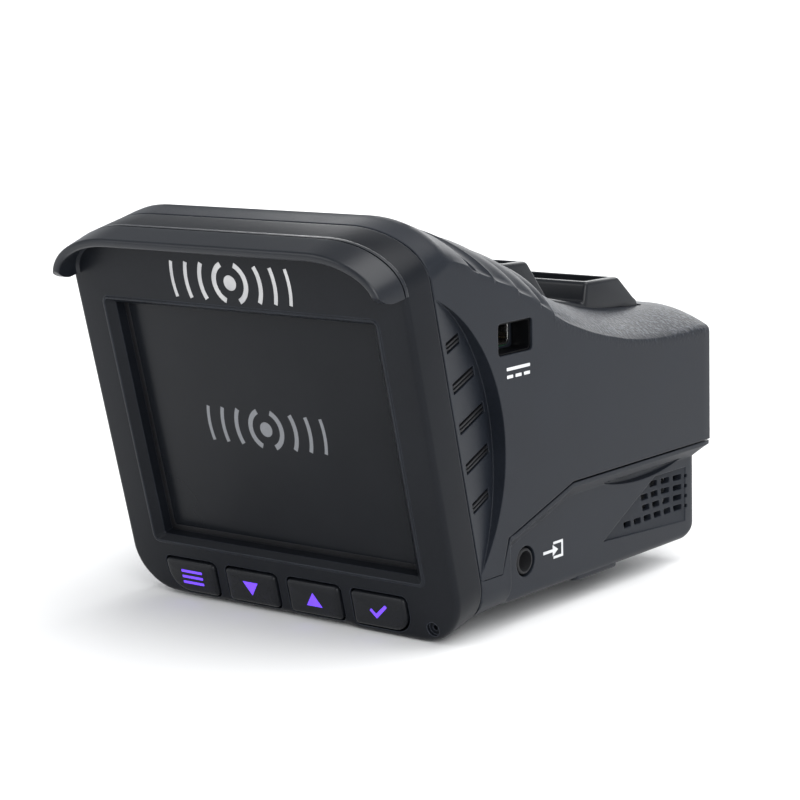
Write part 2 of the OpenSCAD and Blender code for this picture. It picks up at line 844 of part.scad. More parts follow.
module speaker_basket() {
    color("#3a3d42") place() difference() {
        union() {
            at_speaker(speaker_x - 1.2) cylinder(r = speaker_r, h = 1.2);
            at_speaker(speaker_x - 3.4) cylinder(r = speaker_r - 1, h = 2.3);
        }
        at_speaker(speaker_x - 2.8) cylinder(r = speaker_r - 1.6, h = 4);
        at_speaker(speaker_x - 4) cylinder(r = 3.4, h = 4);
    }
}

module speaker_cone() {
    color("#202226") place() {
        difference() {
            at_speaker(speaker_x - 2.2) cylinder(r = speaker_r - 1.7, h = 0.4);
            at_speaker(speaker_x - 3) cylinder(r = 2.4, h = 4);
        }
        at_speaker(speaker_x - 2.3) cylinder(r = 2.5, h = 0.9);
    }
}

module speaker_magnet() {
    color("silver") place() {
        at_speaker(speaker_x - 6.2) cylinder(r = 5, h = 2.75);
        at_speaker(speaker_x - 3.5) cylinder(r = 2.2, h = 0.8);
    }
}

// ---------- road end ----------

horn_y0 = 56;
horn_y1 = 79;
horn_t = 1;

module horn_form(grow) {
    intersection() {
        translate([0, 0, -20]) linear_extrude(40)
            polygon([[-6 - grow, horn_y0 - eps], [6 + grow, horn_y0 - eps], [14 + grow, horn_y1 + eps],
                [-14 - grow, horn_y1 + eps]]);
        across(-30, 30)
            polygon([[horn_y0 - eps, -3 - grow], [horn_y1 + eps, -7 - grow], [horn_y1 + eps, 7 + grow],
                [horn_y0 - eps, 3 + grow]]);
    }
}

module radar_horn() {
    color("#9ba0a6") place() {
        difference() {
            horn_form(horn_t);
            horn_form(0);
            box(-30, 30, horn_y1, horn_y1 + 5, -20, 20);
        }
        difference() {
            box(-16, 16, horn_y0 - 1.2, horn_y0, -8.6, 8.6);
            box(-5, 5, horn_y0 - 2, horn_y0 + 1, -2, 2);
        }
    }
}

module radar_board() {
    color("#d9d2b4") place() box(-16, 16, horn_y0 - 2.4, horn_y0 - 1.25, -8.6, 8.6);
}

camera_end = body_reach - wall - 0.3;

module camera_barrel() {
    color("#101113") place() difference() {
        union() {
            translate([camera_x, camera_end, 0]) rotate([90, 0, 0]) cylinder(r = camera_r, h = 6);
            translate([camera_x, camera_end - 5, 0]) rotate([90, 0, 0]) cylinder(r = 4.8, h = 8);
        }
        translate([camera_x, camera_end + 1, 0]) rotate([90, 0, 0]) cylinder(r = camera_r - 1.2, h = 3.5);
        translate([camera_x, camera_end + 1, 0]) rotate([90, 0, 0]) cylinder(r = 3.2, h = 20);
    }
}

// Plano-convex lens facing the road, its crown at y
module lens(x, y, r, thick, curve_r) {
    translate([x, y - thick, 0]) rotate([-90, 0, 0]) rotate_extrude() intersection() {
        square([r, thick]);
        translate([0, thick - curve_r]) circle(curve_r);
    }
}

module camera_lens() {
    color("#20263a", 0.7) place() lens(camera_x, camera_end - 0.3, camera_r - 1.3, 2, 12);
}

module camera_board() {
    color("#1f5a38") place()
        box(camera_x - 7, camera_x + 6.5, camera_end - 14.4, camera_end - 13.1, -6.5, 6.5);
}

module laser_lens() {
    color("#3a1d22", 0.7) place() lens(laser_x, camera_end, laser_r, 2.6, 9);
}

module laser_sensor() {
    color("#2a2c30") place() {
        translate([laser_x, camera_end - 9, 0]) rotate([90, 0, 0]) cylinder(r = 2.4, h = 3);
        box(laser_x - 5, laser_x + 5, camera_end - 13.2, camera_end - 12, -5, 5);
    }
}

module road_window() {
    color("#141015", 0.8) place() difference() {
        union() {
            along_road(body_reach - wall / 2 - 0.2, body_reach) road_outline();
            along_road(body_reach - wall - 0.1, body_reach - wall / 2) road_outline(1.2 + fit_gap);
        }
        translate([camera_x, body_reach + 1, 0]) rotate([90, 0, 0]) cylinder(r = camera_r - 1.2, h = 6);
    }
}

// ---------- fasteners and feet ----------

module case_screws() {
    color("silver") place()
        for (side = [-1, 1], y = boss_y)
            translate([side * boss_x, y, -base_below + 4]) mirror([0, 0, 1])
                screw(screw_r - 0.1, base_below - joint_below + 4, screw_r + 1, 1.4);
}

module board_screws() {
    color("silver") place()
        for (p = board_posts)
            translate([p[0], p[1], lower_top]) screw(0.7, lower_t + 0.8, 1.3, 0.8);
}

module rear_feet() {
    color("#121213") place()
        for (side = [-1, 1])
            translate([side * foot_x, foot_y, -floor_z]) cylinder(r = foot_r, h = floor_z - base_below);
}

upper_shell();
lower_shell();
front_frame();
sun_visor();
screen_window();
lcd_panel();
backlight();
lcd_tray();
screen_bracket();
bracket_screws();
key(0);  // key_menu
key(1);  // key_down
key(2);  // key_up
key(3);  // key_ok
plunger(0);  // plunger_menu
plunger(1);  // plunger_down
plunger(2);  // plunger_up
plunger(3);  // plunger_ok
key_switches();
key_board();
microphone();
louvre_right();
louvre_left();
mount_cradle();
main_board();
main_chips();
gps_antenna();
power_socket();
power_contacts();
video_jack();
jack_contacts();
lower_board();
lower_chips();
card_socket();
backup_battery();
speaker_basket();
speaker_cone();
speaker_magnet();
radar_horn();
radar_board();
camera_barrel();
camera_lens();
camera_board();
laser_lens();
laser_sensor();
road_window();
case_screws();
board_screws();
rear_feet();
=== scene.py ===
# Windscreen radar detector: the visible pieces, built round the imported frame
import json
import math
import bpy
import bmesh
from mathutils import Matrix, Vector


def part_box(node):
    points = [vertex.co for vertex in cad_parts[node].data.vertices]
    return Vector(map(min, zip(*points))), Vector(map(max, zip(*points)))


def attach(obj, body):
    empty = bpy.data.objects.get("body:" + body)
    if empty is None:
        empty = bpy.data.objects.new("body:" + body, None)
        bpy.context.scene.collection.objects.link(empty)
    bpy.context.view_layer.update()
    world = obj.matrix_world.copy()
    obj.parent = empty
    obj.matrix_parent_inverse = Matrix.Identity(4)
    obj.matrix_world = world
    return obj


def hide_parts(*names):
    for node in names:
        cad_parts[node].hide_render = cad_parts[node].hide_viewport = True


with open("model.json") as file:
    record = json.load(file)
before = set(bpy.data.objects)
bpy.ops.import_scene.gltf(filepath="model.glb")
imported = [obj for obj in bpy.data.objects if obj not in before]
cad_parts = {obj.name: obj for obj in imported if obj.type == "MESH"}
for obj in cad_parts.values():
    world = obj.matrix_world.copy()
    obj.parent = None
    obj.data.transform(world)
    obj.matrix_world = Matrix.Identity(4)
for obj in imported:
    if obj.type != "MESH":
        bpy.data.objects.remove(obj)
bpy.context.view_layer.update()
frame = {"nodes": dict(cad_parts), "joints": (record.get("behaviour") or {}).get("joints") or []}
nodes = frame["nodes"]
print("frame loaded with", len(nodes), "nodes")

# Pieces are drawn in millimetres and put into the frame at the end.
# Body space starts at the screen's centre: x across, y towards the road, z up.
# Face space lies on the screen: u across, v up the screen, w out towards the driver.
mm = 0.001
pressAxis = Vector(frame["joints"][0]["axis"]).normalized()
tilt = math.atan2(pressAxis.z, pressAxis.y)
windowLow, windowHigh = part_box("screen_window")
windowMiddle = 3.65
screenCentre = (windowLow + windowHigh) / 2 - pressAxis * windowMiddle * mm
bodyToRow = Matrix.Translation(screenCentre) @ Matrix.Scale(mm, 4)
faceToBody = Matrix.Rotation(tilt, 4, "X") @ Matrix(
    ((1, 0, 0, 0), (0, 0, -1, 0), (0, 1, 0, 0), (0, 0, 0, 1)))
sideToBody = Matrix(((0, 0, 1, 0), (1, 0, 0, 0), (0, 1, 0, 0), (0, 0, 0, 1)))  # outline in y, z; depth in x
roadToBody = Matrix(((1, 0, 0, 0), (0, 0, 1, 0), (0, 1, 0, 0), (0, 0, 0, 1)))  # outline in x, z; depth in y
flatToBody = Matrix.Identity(4)  # outline in x, y; depth in z


def newPiece(name, points, faces):
    mesh = bpy.data.meshes.new(name)
    mesh.from_pydata([tuple(p) for p in points], [], faces)
    skin = bmesh.new()
    skin.from_mesh(mesh)
    bmesh.ops.recalc_face_normals(skin, faces=skin.faces)
    skin.to_mesh(mesh)
    skin.free()
    piece = bpy.data.objects.new(name, mesh)
    bpy.context.scene.collection.objects.link(piece)
    return piece


def stackRings(name, rings, loop=False):
    # joins rings with the same number of points, with a cap on each end or the last ring back to the first
    count = len(rings[0])
    points = [p for ring in rings for p in ring]
    faces = []
    last = len(rings) if loop else len(rings) - 1
    for r in range(last):
        a, b = r * count, (r + 1) % len(rings) * count
        faces += [(a + i, a + (i + 1) % count, b + (i + 1) % count, b + i) for i in range(count)]
    if not loop:
        faces.append(tuple(range(count)))
        faces.append(tuple((len(rings) - 1) * count + i for i in range(count)))
    return newPiece(name, points, faces)


def quarter(steps, first=0):
    # sine, and one less the cosine, through a quarter turn
    angles = [math.pi / 2 * i / steps for i in range(first, steps + 1)]
    return [(math.sin(a), 1 - math.cos(a)) for a in angles]


def slab(name, outline, near, far, placing=flatToBody, edge=0.0, steps=3):
    # a plate with the outline given, or a function of an inset; edge is the rounding of its far edge
    shape = outline if callable(outline) else (lambda inset: outline)
    levels = [(near, 0.0), (far, 0.0)]
    if edge:
        way = 1 if far > near else -1
        levels = [(near, 0.0)]
        levels += [(far - way * edge * (1 - rise), edge * fall) for rise, fall in quarter(steps)]
    rings = [[placing @ Vector((x, y, level)) for x, y in shape(inset)] for level, inset in levels]
    return stackRings(name, rings)


def roundPanel(x0, x1, y0, y1, radii, steps=8):
    # one radius, or one for each corner from the lower left on, each a number or (across, up)
    radii = radii if isinstance(radii, (tuple, list)) else (radii,) * 4
    outline = []
    for x, y, start, radius in zip((x0, x1, x1, x0), (y0, y0, y1, y1), (180, 270, 0, 90), radii):
        rx, ry = radius if isinstance(radius, tuple) else (radius, radius)
        rx, ry = max(rx, 0.02), max(ry, 0.02)
        cx = x + rx if x == x0 else x - rx
        cy = y + ry if y == y0 else y - ry
        for i in range(steps + 1):
            a = math.radians(start + 90 * i / steps)
            outline.append((cx + rx * math.cos(a), cy + ry * math.sin(a)))
    return outline


def panelAt(x, y, wide, high, radii, steps=8):
    return roundPanel(x - wide / 2, x + wide / 2, y - high / 2, y + high / 2, radii, steps)


def disc(x, y, radius, steps=40):
    return [(x + radius * math.cos(2 * math.pi * i / steps), y + radius * math.sin(2 * math.pi * i / steps))
            for i in range(steps)]


def settle(piece):
    # applies the modifiers
    graph = bpy.context.evaluated_depsgraph_get()
    mesh = bpy.data.meshes.new_from_object(piece.evaluated_get(graph))
    piece.modifiers.clear()
    piece.data = mesh
    return piece


def carve(piece, tools, how="DIFFERENCE"):
    for tool in tools:
        step = piece.modifiers.new("carve", "BOOLEAN")
        step.operation = how
        step.solver = "MANIFOLD"
        step.object = tool
    settle(piece)
    for tool in tools:
        bpy.data.objects.remove(tool)
    return piece


def softenEdges(piece, width, segments=3, angle=32):
    step = piece.modifiers.new("soften", "BEVEL")
    step.width = width
    step.segments = segments
    step.limit_method = "ANGLE"
    step.angle_limit = math.radians(angle)
    step.harden_normals = False
    return settle(piece)


def finishPiece(piece, body, material, replaced=(), placing=bodyToRow, sharp=28):
    mesh = piece.data
    mesh.transform(placing)
    skin = bmesh.new()
    skin.from_mesh(mesh)
    bmesh.ops.remove_doubles(skin, verts=skin.verts, dist=0.002 * mm)
    for edge in skin.edges:
        edge.smooth = len(edge.link_faces) == 2 and edge.calc_face_angle(3) < math.radians(sharp)
    for face in skin.faces:
        face.smooth = True
    skin.to_mesh(mesh)
    skin.free()
    mesh.materials.clear()
    mesh.materials.append(material)
    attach(piece, body)
    if replaced:
        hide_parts(*replaced)
    return piece


def between(table, at):
    # smooth value from a table of (position, value)
    if at <= table[0][0]:
        return table[0][1]
    for i in range(len(table) - 1):
        (a, va), (b, vb) = table[i], table[i + 1]
        if at <= b:
            h = b - a
            t = (at - a) / h
            slopeA = slopeB = (vb - va) / h
            if i > 0:
                slopeA = (vb - table[i - 1][1]) / (b - table[i - 1][0])
            if i + 2 < len(table):
                slopeB = (table[i + 2][1] - va) / (table[i + 2][0] - a)
            return (va * (2 * t ** 3 - 3 * t ** 2 + 1) + slopeA * h * (t ** 3 - 2 * t ** 2 + t)
                    + vb * (3 * t ** 2 - 2 * t ** 3) + slopeB * h * (t ** 3 - t ** 2))
    return table[-1][1]


def easeIn(value):
    value = min(1.0, max(0.0, value))
    return value * value * (3 - 2 * value)


def feed(tree, node, inputs):
    # links or sets each of a node's inputs
    for socket, value in inputs.items():
        if isinstance(value, bpy.types.NodeSocket):
            tree.links.new(value, node.inputs[socket])
        else:
            node.inputs[socket].default_value = value


def addNode(tree, kind, inputs=(), **settings):
    node = tree.nodes.new(kind)
    for key, value in settings.items():
        setattr(node, key, value)
    feed(tree, node, dict(inputs))
    return node


def calc(tree, how, a, b=0.0):
    return addNode(tree, "ShaderNodeMath", {0: a, 1: b}, operation=how).outputs[0]


def ranged(tree, value, low, high, toLow=0.0, toHigh=1.0):
    return addNode(tree, "ShaderNodeMapRange", {"Value": value, "From Min": low, "From Max": high,
                                                "To Min": toLow, "To Max": toHigh}).outputs[0]


def mixColours(tree, share, a, b):
    a, b = (x if isinstance(x, bpy.types.NodeSocket) else (*x, 1) for x in (a, b))
    return addNode(tree, "ShaderNodeMix", {"Factor": share, 6: a, 7: b}, data_type="RGBA").outputs[2]


def noise(tree, place, size, detail=3.0, rough=0.55):
    # size is the grain's width in millimetres
    return addNode(tree, "ShaderNodeTexNoise", {"Vector": place, "Scale": 1 / (size * mm), "Detail": detail,
                                                "Roughness": rough}).outputs["Fac"]


def cells(tree, place, size):
    return addNode(tree, "ShaderNodeTexVoronoi", {"Vector": place, "Scale": 1 / (size * mm)}).outputs[0]


def bumped(tree, height, depth, normal=None):
    # the normal of a surface with this height pattern, depth millimetres high
    inputs = {"Height": height, "Distance": depth * mm, "Strength": 1.0}
    if normal:
        inputs["Normal"] = normal
    return addNode(tree, "ShaderNodeBump", inputs).outputs[0]


def startMaterial(name):
    material = bpy.data.materials.new(name)
    material.use_nodes = True
    tree = material.node_tree
    place = addNode(tree, "ShaderNodeTexCoord").outputs["Object"]
    return material, tree, tree.nodes["Principled BSDF"], place


def edgeMask(tree, rounding):
    # 1 along edges and 0 on flats, and the rounded normal
    rounded = addNode(tree, "ShaderNodeBevel", {"Radius": rounding * mm}, samples=6).outputs[0]
    plain = addNode(tree, "ShaderNodeNewGeometry").outputs["Normal"]
    turn = addNode(tree, "ShaderNodeVectorMath", {0: rounded, 1: plain}, operation="DOT_PRODUCT")
    return ranged(tree, turn.outputs["Value"], 0.995, 0.86), rounded


def mouldedPlastic(name, look):
    # spark-eroded or satin moulding with cloudy colour and pitted grain; edges are mixed towards a lighter
    # colour, partly wear and partly painted highlight
    material, tree, shader, place = startMaterial(name)
    edgeZone, rounded = edgeMask(tree, look["rounding"])
    cloud = noise(tree, place, look["cloud"], 4)
    grain = noise(tree, place, look["grain"], 3, 0.65)
    pits = cells(tree, place, look["grain"] * 1.7)
    colour = mixColours(tree, ranged(tree, cloud, 0.3, 0.7), look["dark"], look["light"])
    colour = mixColours(tree, ranged(tree, grain, 0.45, 0.8, 0, look["speck"]), colour, look["highlightAndWearColour"])
    height = calc(tree, "ADD", calc(tree, "MULTIPLY", grain, 0.7), calc(tree, "MULTIPLY", pits, 0.3))
    normal = bumped(tree, height, look["depth"], rounded)
    if "hide" in look:
        coarse = hideGrain(tree, place, look["hide"])
        # painted sparkle: the coarse grain's lumps are coloured lighter, standing in for glints on the grain
        fleck = calc(tree, "MULTIPLY", ranged(tree, coarse, 0.55, 1.1), 0.9)
        colour = mixColours(tree, fleck, colour, look["hide"]["fleck"])
        normal = bumped(tree, coarse, look["hide"]["depth"], normal)
    # painted highlight: along edges the colour is mixed towards the lighter edge colour, partly as wear and
    # partly for light caught on rounded edges
    share = calc(tree, "MULTIPLY", edgeZone, ranged(tree, cloud, 0.35, 0.75, look["highlightAndWearShare"] / 2, look["highlightAndWearShare"]))
    gloss = calc(tree, "ADD", ranged(tree, cloud, 0.3, 0.7, look["rough"] - 0.04, look["rough"] + 0.04),
                 ranged(tree, grain, 0.3, 0.7, -0.05, 0.05))
    feed(tree, shader, {"Base Color": mixColours(tree, share, colour, look["highlightAndWearColour"]), "Normal": normal,
                        "Roughness": calc(tree, "SUBTRACT", gloss, calc(tree, "MULTIPLY", edgeZone, 0.06)),
                        "Specular IOR Level": look["shine"]})
    return material


def hideGrain(tree, place, hide):
    # height of the coarse stone grain on the road half of the roof, fading out down the sides
    part = addNode(tree, "ShaderNodeSeparateXYZ", {0: place})
    acrossX = calc(tree, "ABSOLUTE", part.outputs["X"])
    alongY = calc(tree, "SUBTRACT", part.outputs["Y"], screenCentre.y)
    upZ = calc(tree, "SUBTRACT", part.outputs["Z"], screenCentre.z)
    ramp = addNode(tree, "ShaderNodeValToRGB", {0: ranged(tree, alongY, hide["from"] * mm, hide["to"] * mm)})
    for i, (at, level) in enumerate(hide["fall"]):
        share = (at - hide["from"]) / (hide["to"] - hide["from"])
        element = ramp.color_ramp.elements[i] if i < 2 else ramp.color_ramp.elements.new(share)
        element.position = share
        element.color = (level / hide["top"],) * 3 + (1,)
    line = calc(tree, "MULTIPLY", ramp.outputs[0], hide["top"] * mm)
    ragged = calc(tree, "MULTIPLY", calc(tree, "SUBTRACT", noise(tree, place, 2.5), 0.5), hide["ragged"] * mm)
    above = calc(tree, "ADD", calc(tree, "SUBTRACT", upZ, line), ragged)
    upper = ranged(tree, above, -hide["fade"] * mm, 0.6 * mm)
    bendFrom, bendTo, bend = (x * mm for x in hide["bend"])
    edge = calc(tree, "ADD", ranged(tree, acrossX, bendFrom, bendTo, 0, bend), hide["start"] * mm)
    behind = ranged(tree, calc(tree, "SUBTRACT", alongY, edge), 0, 0.3 * mm)
    clear = calc(tree, "MAXIMUM", ranged(tree, acrossX, *(x * mm for x in hide["clearSide"])),
                 ranged(tree, alongY, *(x * mm for x in hide["clearEnd"])))
    mask = calc(tree, "MULTIPLY", calc(tree, "MULTIPLY", upper, behind), clear)
    lumps = ranged(tree, noise(tree, place, hide["cell"], 2.5, 0.6), 0.34, 0.66)
    pits = calc(tree, "MULTIPLY", cells(tree, place, hide["cell"] * 1.2), 0.35)
    return calc(tree, "MULTIPLY", calc(tree, "ADD", lumps, pits), mask)


# each look's edge colour is painted along edges, partly wear and partly painted highlight; the share sets how
# much
lowerLook = {
    "dark": (0.0088, 0.0108, 0.0152), "light": (0.013, 0.0155, 0.021), "highlightAndWearColour": (0.042, 0.048, 0.062),
    "cloud": 14, "grain": 0.22, "depth": 0.012, "speck": 0.2, "highlightAndWearShare": 0.3, "rounding": 0.3,
    "rough": 0.42, "shine": 0.2,
}
# where the coarse grain lies, in body space: its lower edge falls along fall, as (how far back, how high)
hideLook = {
    "from": 28, "to": 86, "top": 40, "start": 29.6, "fade": 2.2, "ragged": 3, "cell": 0.7, "depth": 0.05,
    # fleck is the lighter colour painted on the grain's lumps, as painted sparkle
    "bend": (28, 37, 4.6), "clearSide": (27.2, 28.8), "clearEnd": (79, 80.6), "fleck": (0.06, 0.067, 0.082),
    "fall": [(28, 22.6), (86, 10), (35.4, 18.6), (47.4, 14.6), (60.1, 11.8), (73.5, 10.7)],
}
# painted shade: the front plastic is a darker copy of the shell plastic, standing in for the dimmer light the
# front face gets; the visor and key plastics below are copies of it. Its edge colour is painted lighter for
# highlights on the bead lines
frontLook = dict(lowerLook, dark=(0.0045, 0.0054, 0.0075), light=(0.0066, 0.0077, 0.0102),
                 highlightAndWearColour=(0.075, 0.085, 0.108), grain=0.12, depth=0.004, speck=0.1, rough=0.36, shine=0.14,
                 highlightAndWearShare=0.75, rounding=0.34)
nylonLook = dict(lowerLook, dark=(0.6, 0.53, 0.36), light=(0.68, 0.61, 0.43), highlightAndWearColour=(0.8, 0.75, 0.6),
                 rough=0.45, depth=0.004, rounding=0.1)

shellPlastic = mouldedPlastic("shellPlastic", dict(lowerLook, hide=hideLook))
lowerPlastic = mouldedPlastic("lowerShellPlastic", lowerLook)
frontPlastic = mouldedPlastic("frontPlastic", frontLook)
visorPlastic = mouldedPlastic("visorPlastic", dict(
    frontLook, dark=(0.0068, 0.0082, 0.0114), light=(0.0098, 0.0115, 0.0154), rough=0.34, shine=0.32,
    highlightAndWearShare=0.08, rounding=0.06))
# painted highlight: the keys' edges are painted strongly lighter for their glossy edge highlights
keyPlastic = mouldedPlastic("keyPlastic", dict(
    frontLook, dark=(0.004, 0.0046, 0.006), light=(0.0056, 0.0064, 0.0082), highlightAndWearColour=(0.11, 0.12, 0.145),
    rough=0.3, shine=0.24, highlightAndWearShare=0.95))
cradlePlastic = mouldedPlastic("cradlePlastic", dict(
    lowerLook, dark=(0.0068, 0.0078, 0.0102), light=(0.0098, 0.011, 0.0138), grain=0.16, depth=0.005,
    speck=0.08, rough=0.34, shine=0.28))
# painted shade: a near-black plastic for the liner in the power port, standing in for the shade inside the
# port
portShadePlastic = mouldedPlastic("portShadePlastic", dict(
    lowerLook, dark=(0.0016, 0.0018, 0.0022), light=(0.0026, 0.0028, 0.0034), highlightAndWearColour=(0.01, 0.01, 0.012),
    rough=0.4, shine=0.08))
insertPlastic = mouldedPlastic("insertPlastic", dict(
    lowerLook, dark=(0.008, 0.008, 0.009), light=(0.012, 0.012, 0.013), rounding=0.1))
footRubber = mouldedPlastic("footRubber", dict(
    lowerLook, dark=(0.01, 0.01, 0.0105), light=(0.014, 0.014, 0.015), rough=0.72, shine=0.3, grain=0.3,
    depth=0.02))
whitePrint = mouldedPlastic("whitePrint", dict(
    lowerLook, dark=(0.6, 0.61, 0.62), light=(0.7, 0.71, 0.72), highlightAndWearColour=(0.5, 0.5, 0.5), speck=0.25,
    depth=0.004, rough=0.5, rounding=0.03))
nylon = mouldedPlastic("plungerNylon", nylonLook)
ceramic = mouldedPlastic("ceramic", dict(
    nylonLook, dark=(0.5, 0.43, 0.3), light=(0.58, 0.5, 0.35), rough=0.6))
diffuser = mouldedPlastic("diffuser", dict(
    nylonLook, dark=(0.8, 0.81, 0.8), light=(0.87, 0.88, 0.87), highlightAndWearColour=(0.9, 0.9, 0.9), rough=0.35))
chipEpoxy = mouldedPlastic("chipEpoxy", dict(
    lowerLook, dark=(0.012, 0.012, 0.013), light=(0.02, 0.02, 0.021), rough=0.55, rounding=0.1))


def brushedMetal(name, look):
    # rolled or plated metal: fine lines one way, cloudy tarnish and brighter edges
    material, tree, shader, place = startMaterial(name)
    edgeZone, rounded = edgeMask(tree, 0.12)
    long = addNode(tree, "ShaderNodeMapping", {"Vector": place, "Scale": look["run"]}).outputs[0]
    lines = noise(tree, long, look["line"], 4, 0.7)
    cloud = noise(tree, place, look["cloud"], 4)
    stained = mixColours(tree, ranged(tree, cloud, 0.3, 0.75), look["light"], look["dark"])
    colour = mixColours(tree, calc(tree, "MULTIPLY", edgeZone, 0.6), stained, look["edge"])
    rough = calc(tree, "ADD", ranged(tree, lines, 0.25, 0.75, look["rough"] - 0.08, look["rough"] + 0.08),
                 ranged(tree, cloud, 0.3, 0.7, -0.05, 0.05))
    feed(tree, shader, {"Base Color": colour, "Roughness": rough, "Metallic": 1.0,
                        "Normal": bumped(tree, lines, look["depth"], rounded)})
    return material


steelLook = {"light": (0.62, 0.63, 0.65), "dark": (0.47, 0.48, 0.5), "edge": (0.78, 0.79, 0.8),
             "run": (1, 1, 0.06), "line": 0.12, "cloud": 5, "rough": 0.32, "depth": 0.004}
sheetSteel = brushedMetal("sheetSteel", steelLook)
screwSteel = brushedMetal("screwSteel", dict(
    steelLook, light=(0.36, 0.37, 0.39), dark=(0.22, 0.23, 0.25), cloud=1.5))
nickel = brushedMetal("nickelPlate", dict(
    steelLook, light=(0.7, 0.69, 0.66), dark=(0.56, 0.55, 0.52), rough=0.2))
goldFlash = brushedMetal("goldFlash", dict(
    steelLook, light=(0.83, 0.64, 0.3), dark=(0.68, 0.5, 0.22), rough=0.25))
castMetal = brushedMetal("castMetal", dict(
    steelLook, light=(0.58, 0.59, 0.6), dark=(0.46, 0.47, 0.48), rough=0.5, run=(1, 1, 1), line=0.3,
    depth=0.02))
cellFoil = brushedMetal("cellFoil", dict(
    steelLook, light=(0.56, 0.58, 0.61), dark=(0.46, 0.48, 0.51), rough=0.42, run=(1, 1, 1), line=0.8,
    depth=0.03))
silverPrint = brushedMetal("silverPrint", dict(
    steelLook, light=(0.5, 0.5, 0.5), dark=(0.4, 0.4, 0.41), edge=(0.6, 0.6, 0.6), rough=0.36,
    run=(0.05, 1, 1), line=0.1, depth=0.002))


def circuitBoard(name, mask, track):
    # solder resist over copper tracks: a square maze of raised lines
    material, tree, shader, place = startMaterial(name)
    bricks = {"Vector": place, "Color1": (1, 1, 1, 1), "Color2": (0.8, 0.8, 0.8, 1), "Mortar": (0, 0, 0, 1),
              "Scale": 1 / (3.2 * mm), "Mortar Size": 0.05, "Brick Width": 0.9, "Row Height": 0.32}
    lines = addNode(tree, "ShaderNodeTexBrick", bricks).outputs["Fac"]
    cloud = noise(tree, place, 3.0, 4)
    share = calc(tree, "MULTIPLY", ranged(tree, lines, 0, 1), 0.6)
    body = mixColours(tree, ranged(tree, cloud, 0.3, 0.7), mask, tuple(x * 1.3 for x in mask))
    feed(tree, shader, {"Base Color": mixColours(tree, share, body, track), "Coat Weight": 0.3,
                        "Roughness": ranged(tree, cloud, 0.3, 0.7, 0.3, 0.42),
                        "Normal": bumped(tree, lines, 0.03)})
    return material


boardGreen = circuitBoard("boardGreen", (0.012, 0.075, 0.03), (0.03, 0.16, 0.06))


def polishedPanel(name, look):
    # glass or polished plastic over a dark ground, with faint haze, dust and hairline marks
    material, tree, shader, place = startMaterial(name)
    haze = noise(tree, place, 22, 3)
    dust = noise(tree, place, 0.5, 2, 0.8)
    streak = addNode(tree, "ShaderNodeMapping", {"Vector": place, "Scale": (1, 1, 0.05),
                                                 "Rotation": (0, 0.5, 0)}).outputs[0]
    hair = noise(tree, streak, 0.4, 2)
    rough = calc(tree, "ADD", ranged(tree, dust, 0.6, 0.85, look["rough"], look["rough"] + 0.04),
                 ranged(tree, hair, 0.6, 0.8, 0, 0.02))
    colour = mixColours(tree, ranged(tree, haze, 0.3, 0.7), look["dark"], look["light"])
    feed(tree, shader, {"Base Color": colour, "Roughness": rough, "Normal": bumped(tree, haze, 0.05),
                        "Specular IOR Level": look["shine"]})
    return material


lcdLook = {"dark": (0.012, 0.0135, 0.0148), "light": (0.016, 0.0172, 0.019), "rough": 0.12, "shine": 0.5}
lcdGlass = polishedPanel("displayGlass", lcdLook)
windowGlass = polishedPanel("windowGlass", dict(
    lcdLook, dark=(0.0062, 0.0072, 0.0092), light=(0.0085, 0.0096, 0.012), rough=0.22, shine=0.14))
lensGlass = polishedPanel("lensGlass", dict(
    lcdLook, dark=(0.02, 0.03, 0.07), light=(0.04, 0.03, 0.09), rough=0.03, shine=0.8))
roadPanel = polishedPanel("roadPanel", dict(
    lcdLook, dark=(0.012, 0.005, 0.007), light=(0.018, 0.008, 0.01), rough=0.1, shine=0.3))


def speckled(name, grain, dark, light, rough, depth, glow=0.0):
    # pressed fibre or printed ink; a glow makes it a lit legend
    material, tree, shader, place = startMaterial(name)
    fleck = noise(tree, place, *grain)
    feed(tree, shader, {"Base Color": mixColours(tree, ranged(tree, fleck, 0.3, 0.7), dark, light),
                        "Roughness": ranged(tree, fleck, 0.3, 0.7, *rough),
                        "Normal": bumped(tree, fleck, depth)})
    if glow:
        shader.inputs["Emission Color"].default_value = (*dark, 1)
        shader.inputs["Emission Strength"].default_value = glow
    return material


def litLegend(name, colour, glow):
    return speckled(name, (0.3, 3), colour, tuple(x * 1.25 for x in colour), (0.35, 0.5), 0.01, glow)


conePaper = speckled("conePaper", (0.35, 5, 0.7), (0.02, 0.021, 0.023), (0.05, 0.052, 0.056),
                     (0.7, 0.9), 0.05)
violetLegend = litLegend("violetLegend", (0.13, 0.045, 0.8), 0.9)
screenMark = litLegend("screenMark", (0.12, 0.125, 0.135), 0.35)
print("materials made")


roof = {
    "half": 37.2, "wall": 2.0, "end": 84.9, "endRound": 0.5,
    "collarFrom": 7.03, "collarTo": 12.0, "above": 36.6, "crest": 3.66,
    "line": [(3.66, 38.34), (32, 27.6), (40.5, 23.3), (49, 19.9), (64, 16.8), (84.9, 15)],
    "drop": [(3.66, 6.6), (5.2, 6.4), (8, 5.8), (13, 5.8), (23.4, 6.0), (31, 6.5), (35.4, 7.0), (47.4, 5.9),
             (60, 5.6), (73.5, 5.0), (84.9, 4.2)],
    "across": [(3.66, 14.5), (13, 12), (31, 11.5), (49, 13), (84.9, 13)],
    "sweep": [(3.66, 80), (9, 64), (35, 58), (60, 35), (84.9, 15)],
    "collarDrop": 7.5, "collarAcross": 15,
    "arcSteps": 22, "topSteps": 10, "bottom": -26, "fold": (0.42, 0.55),
}
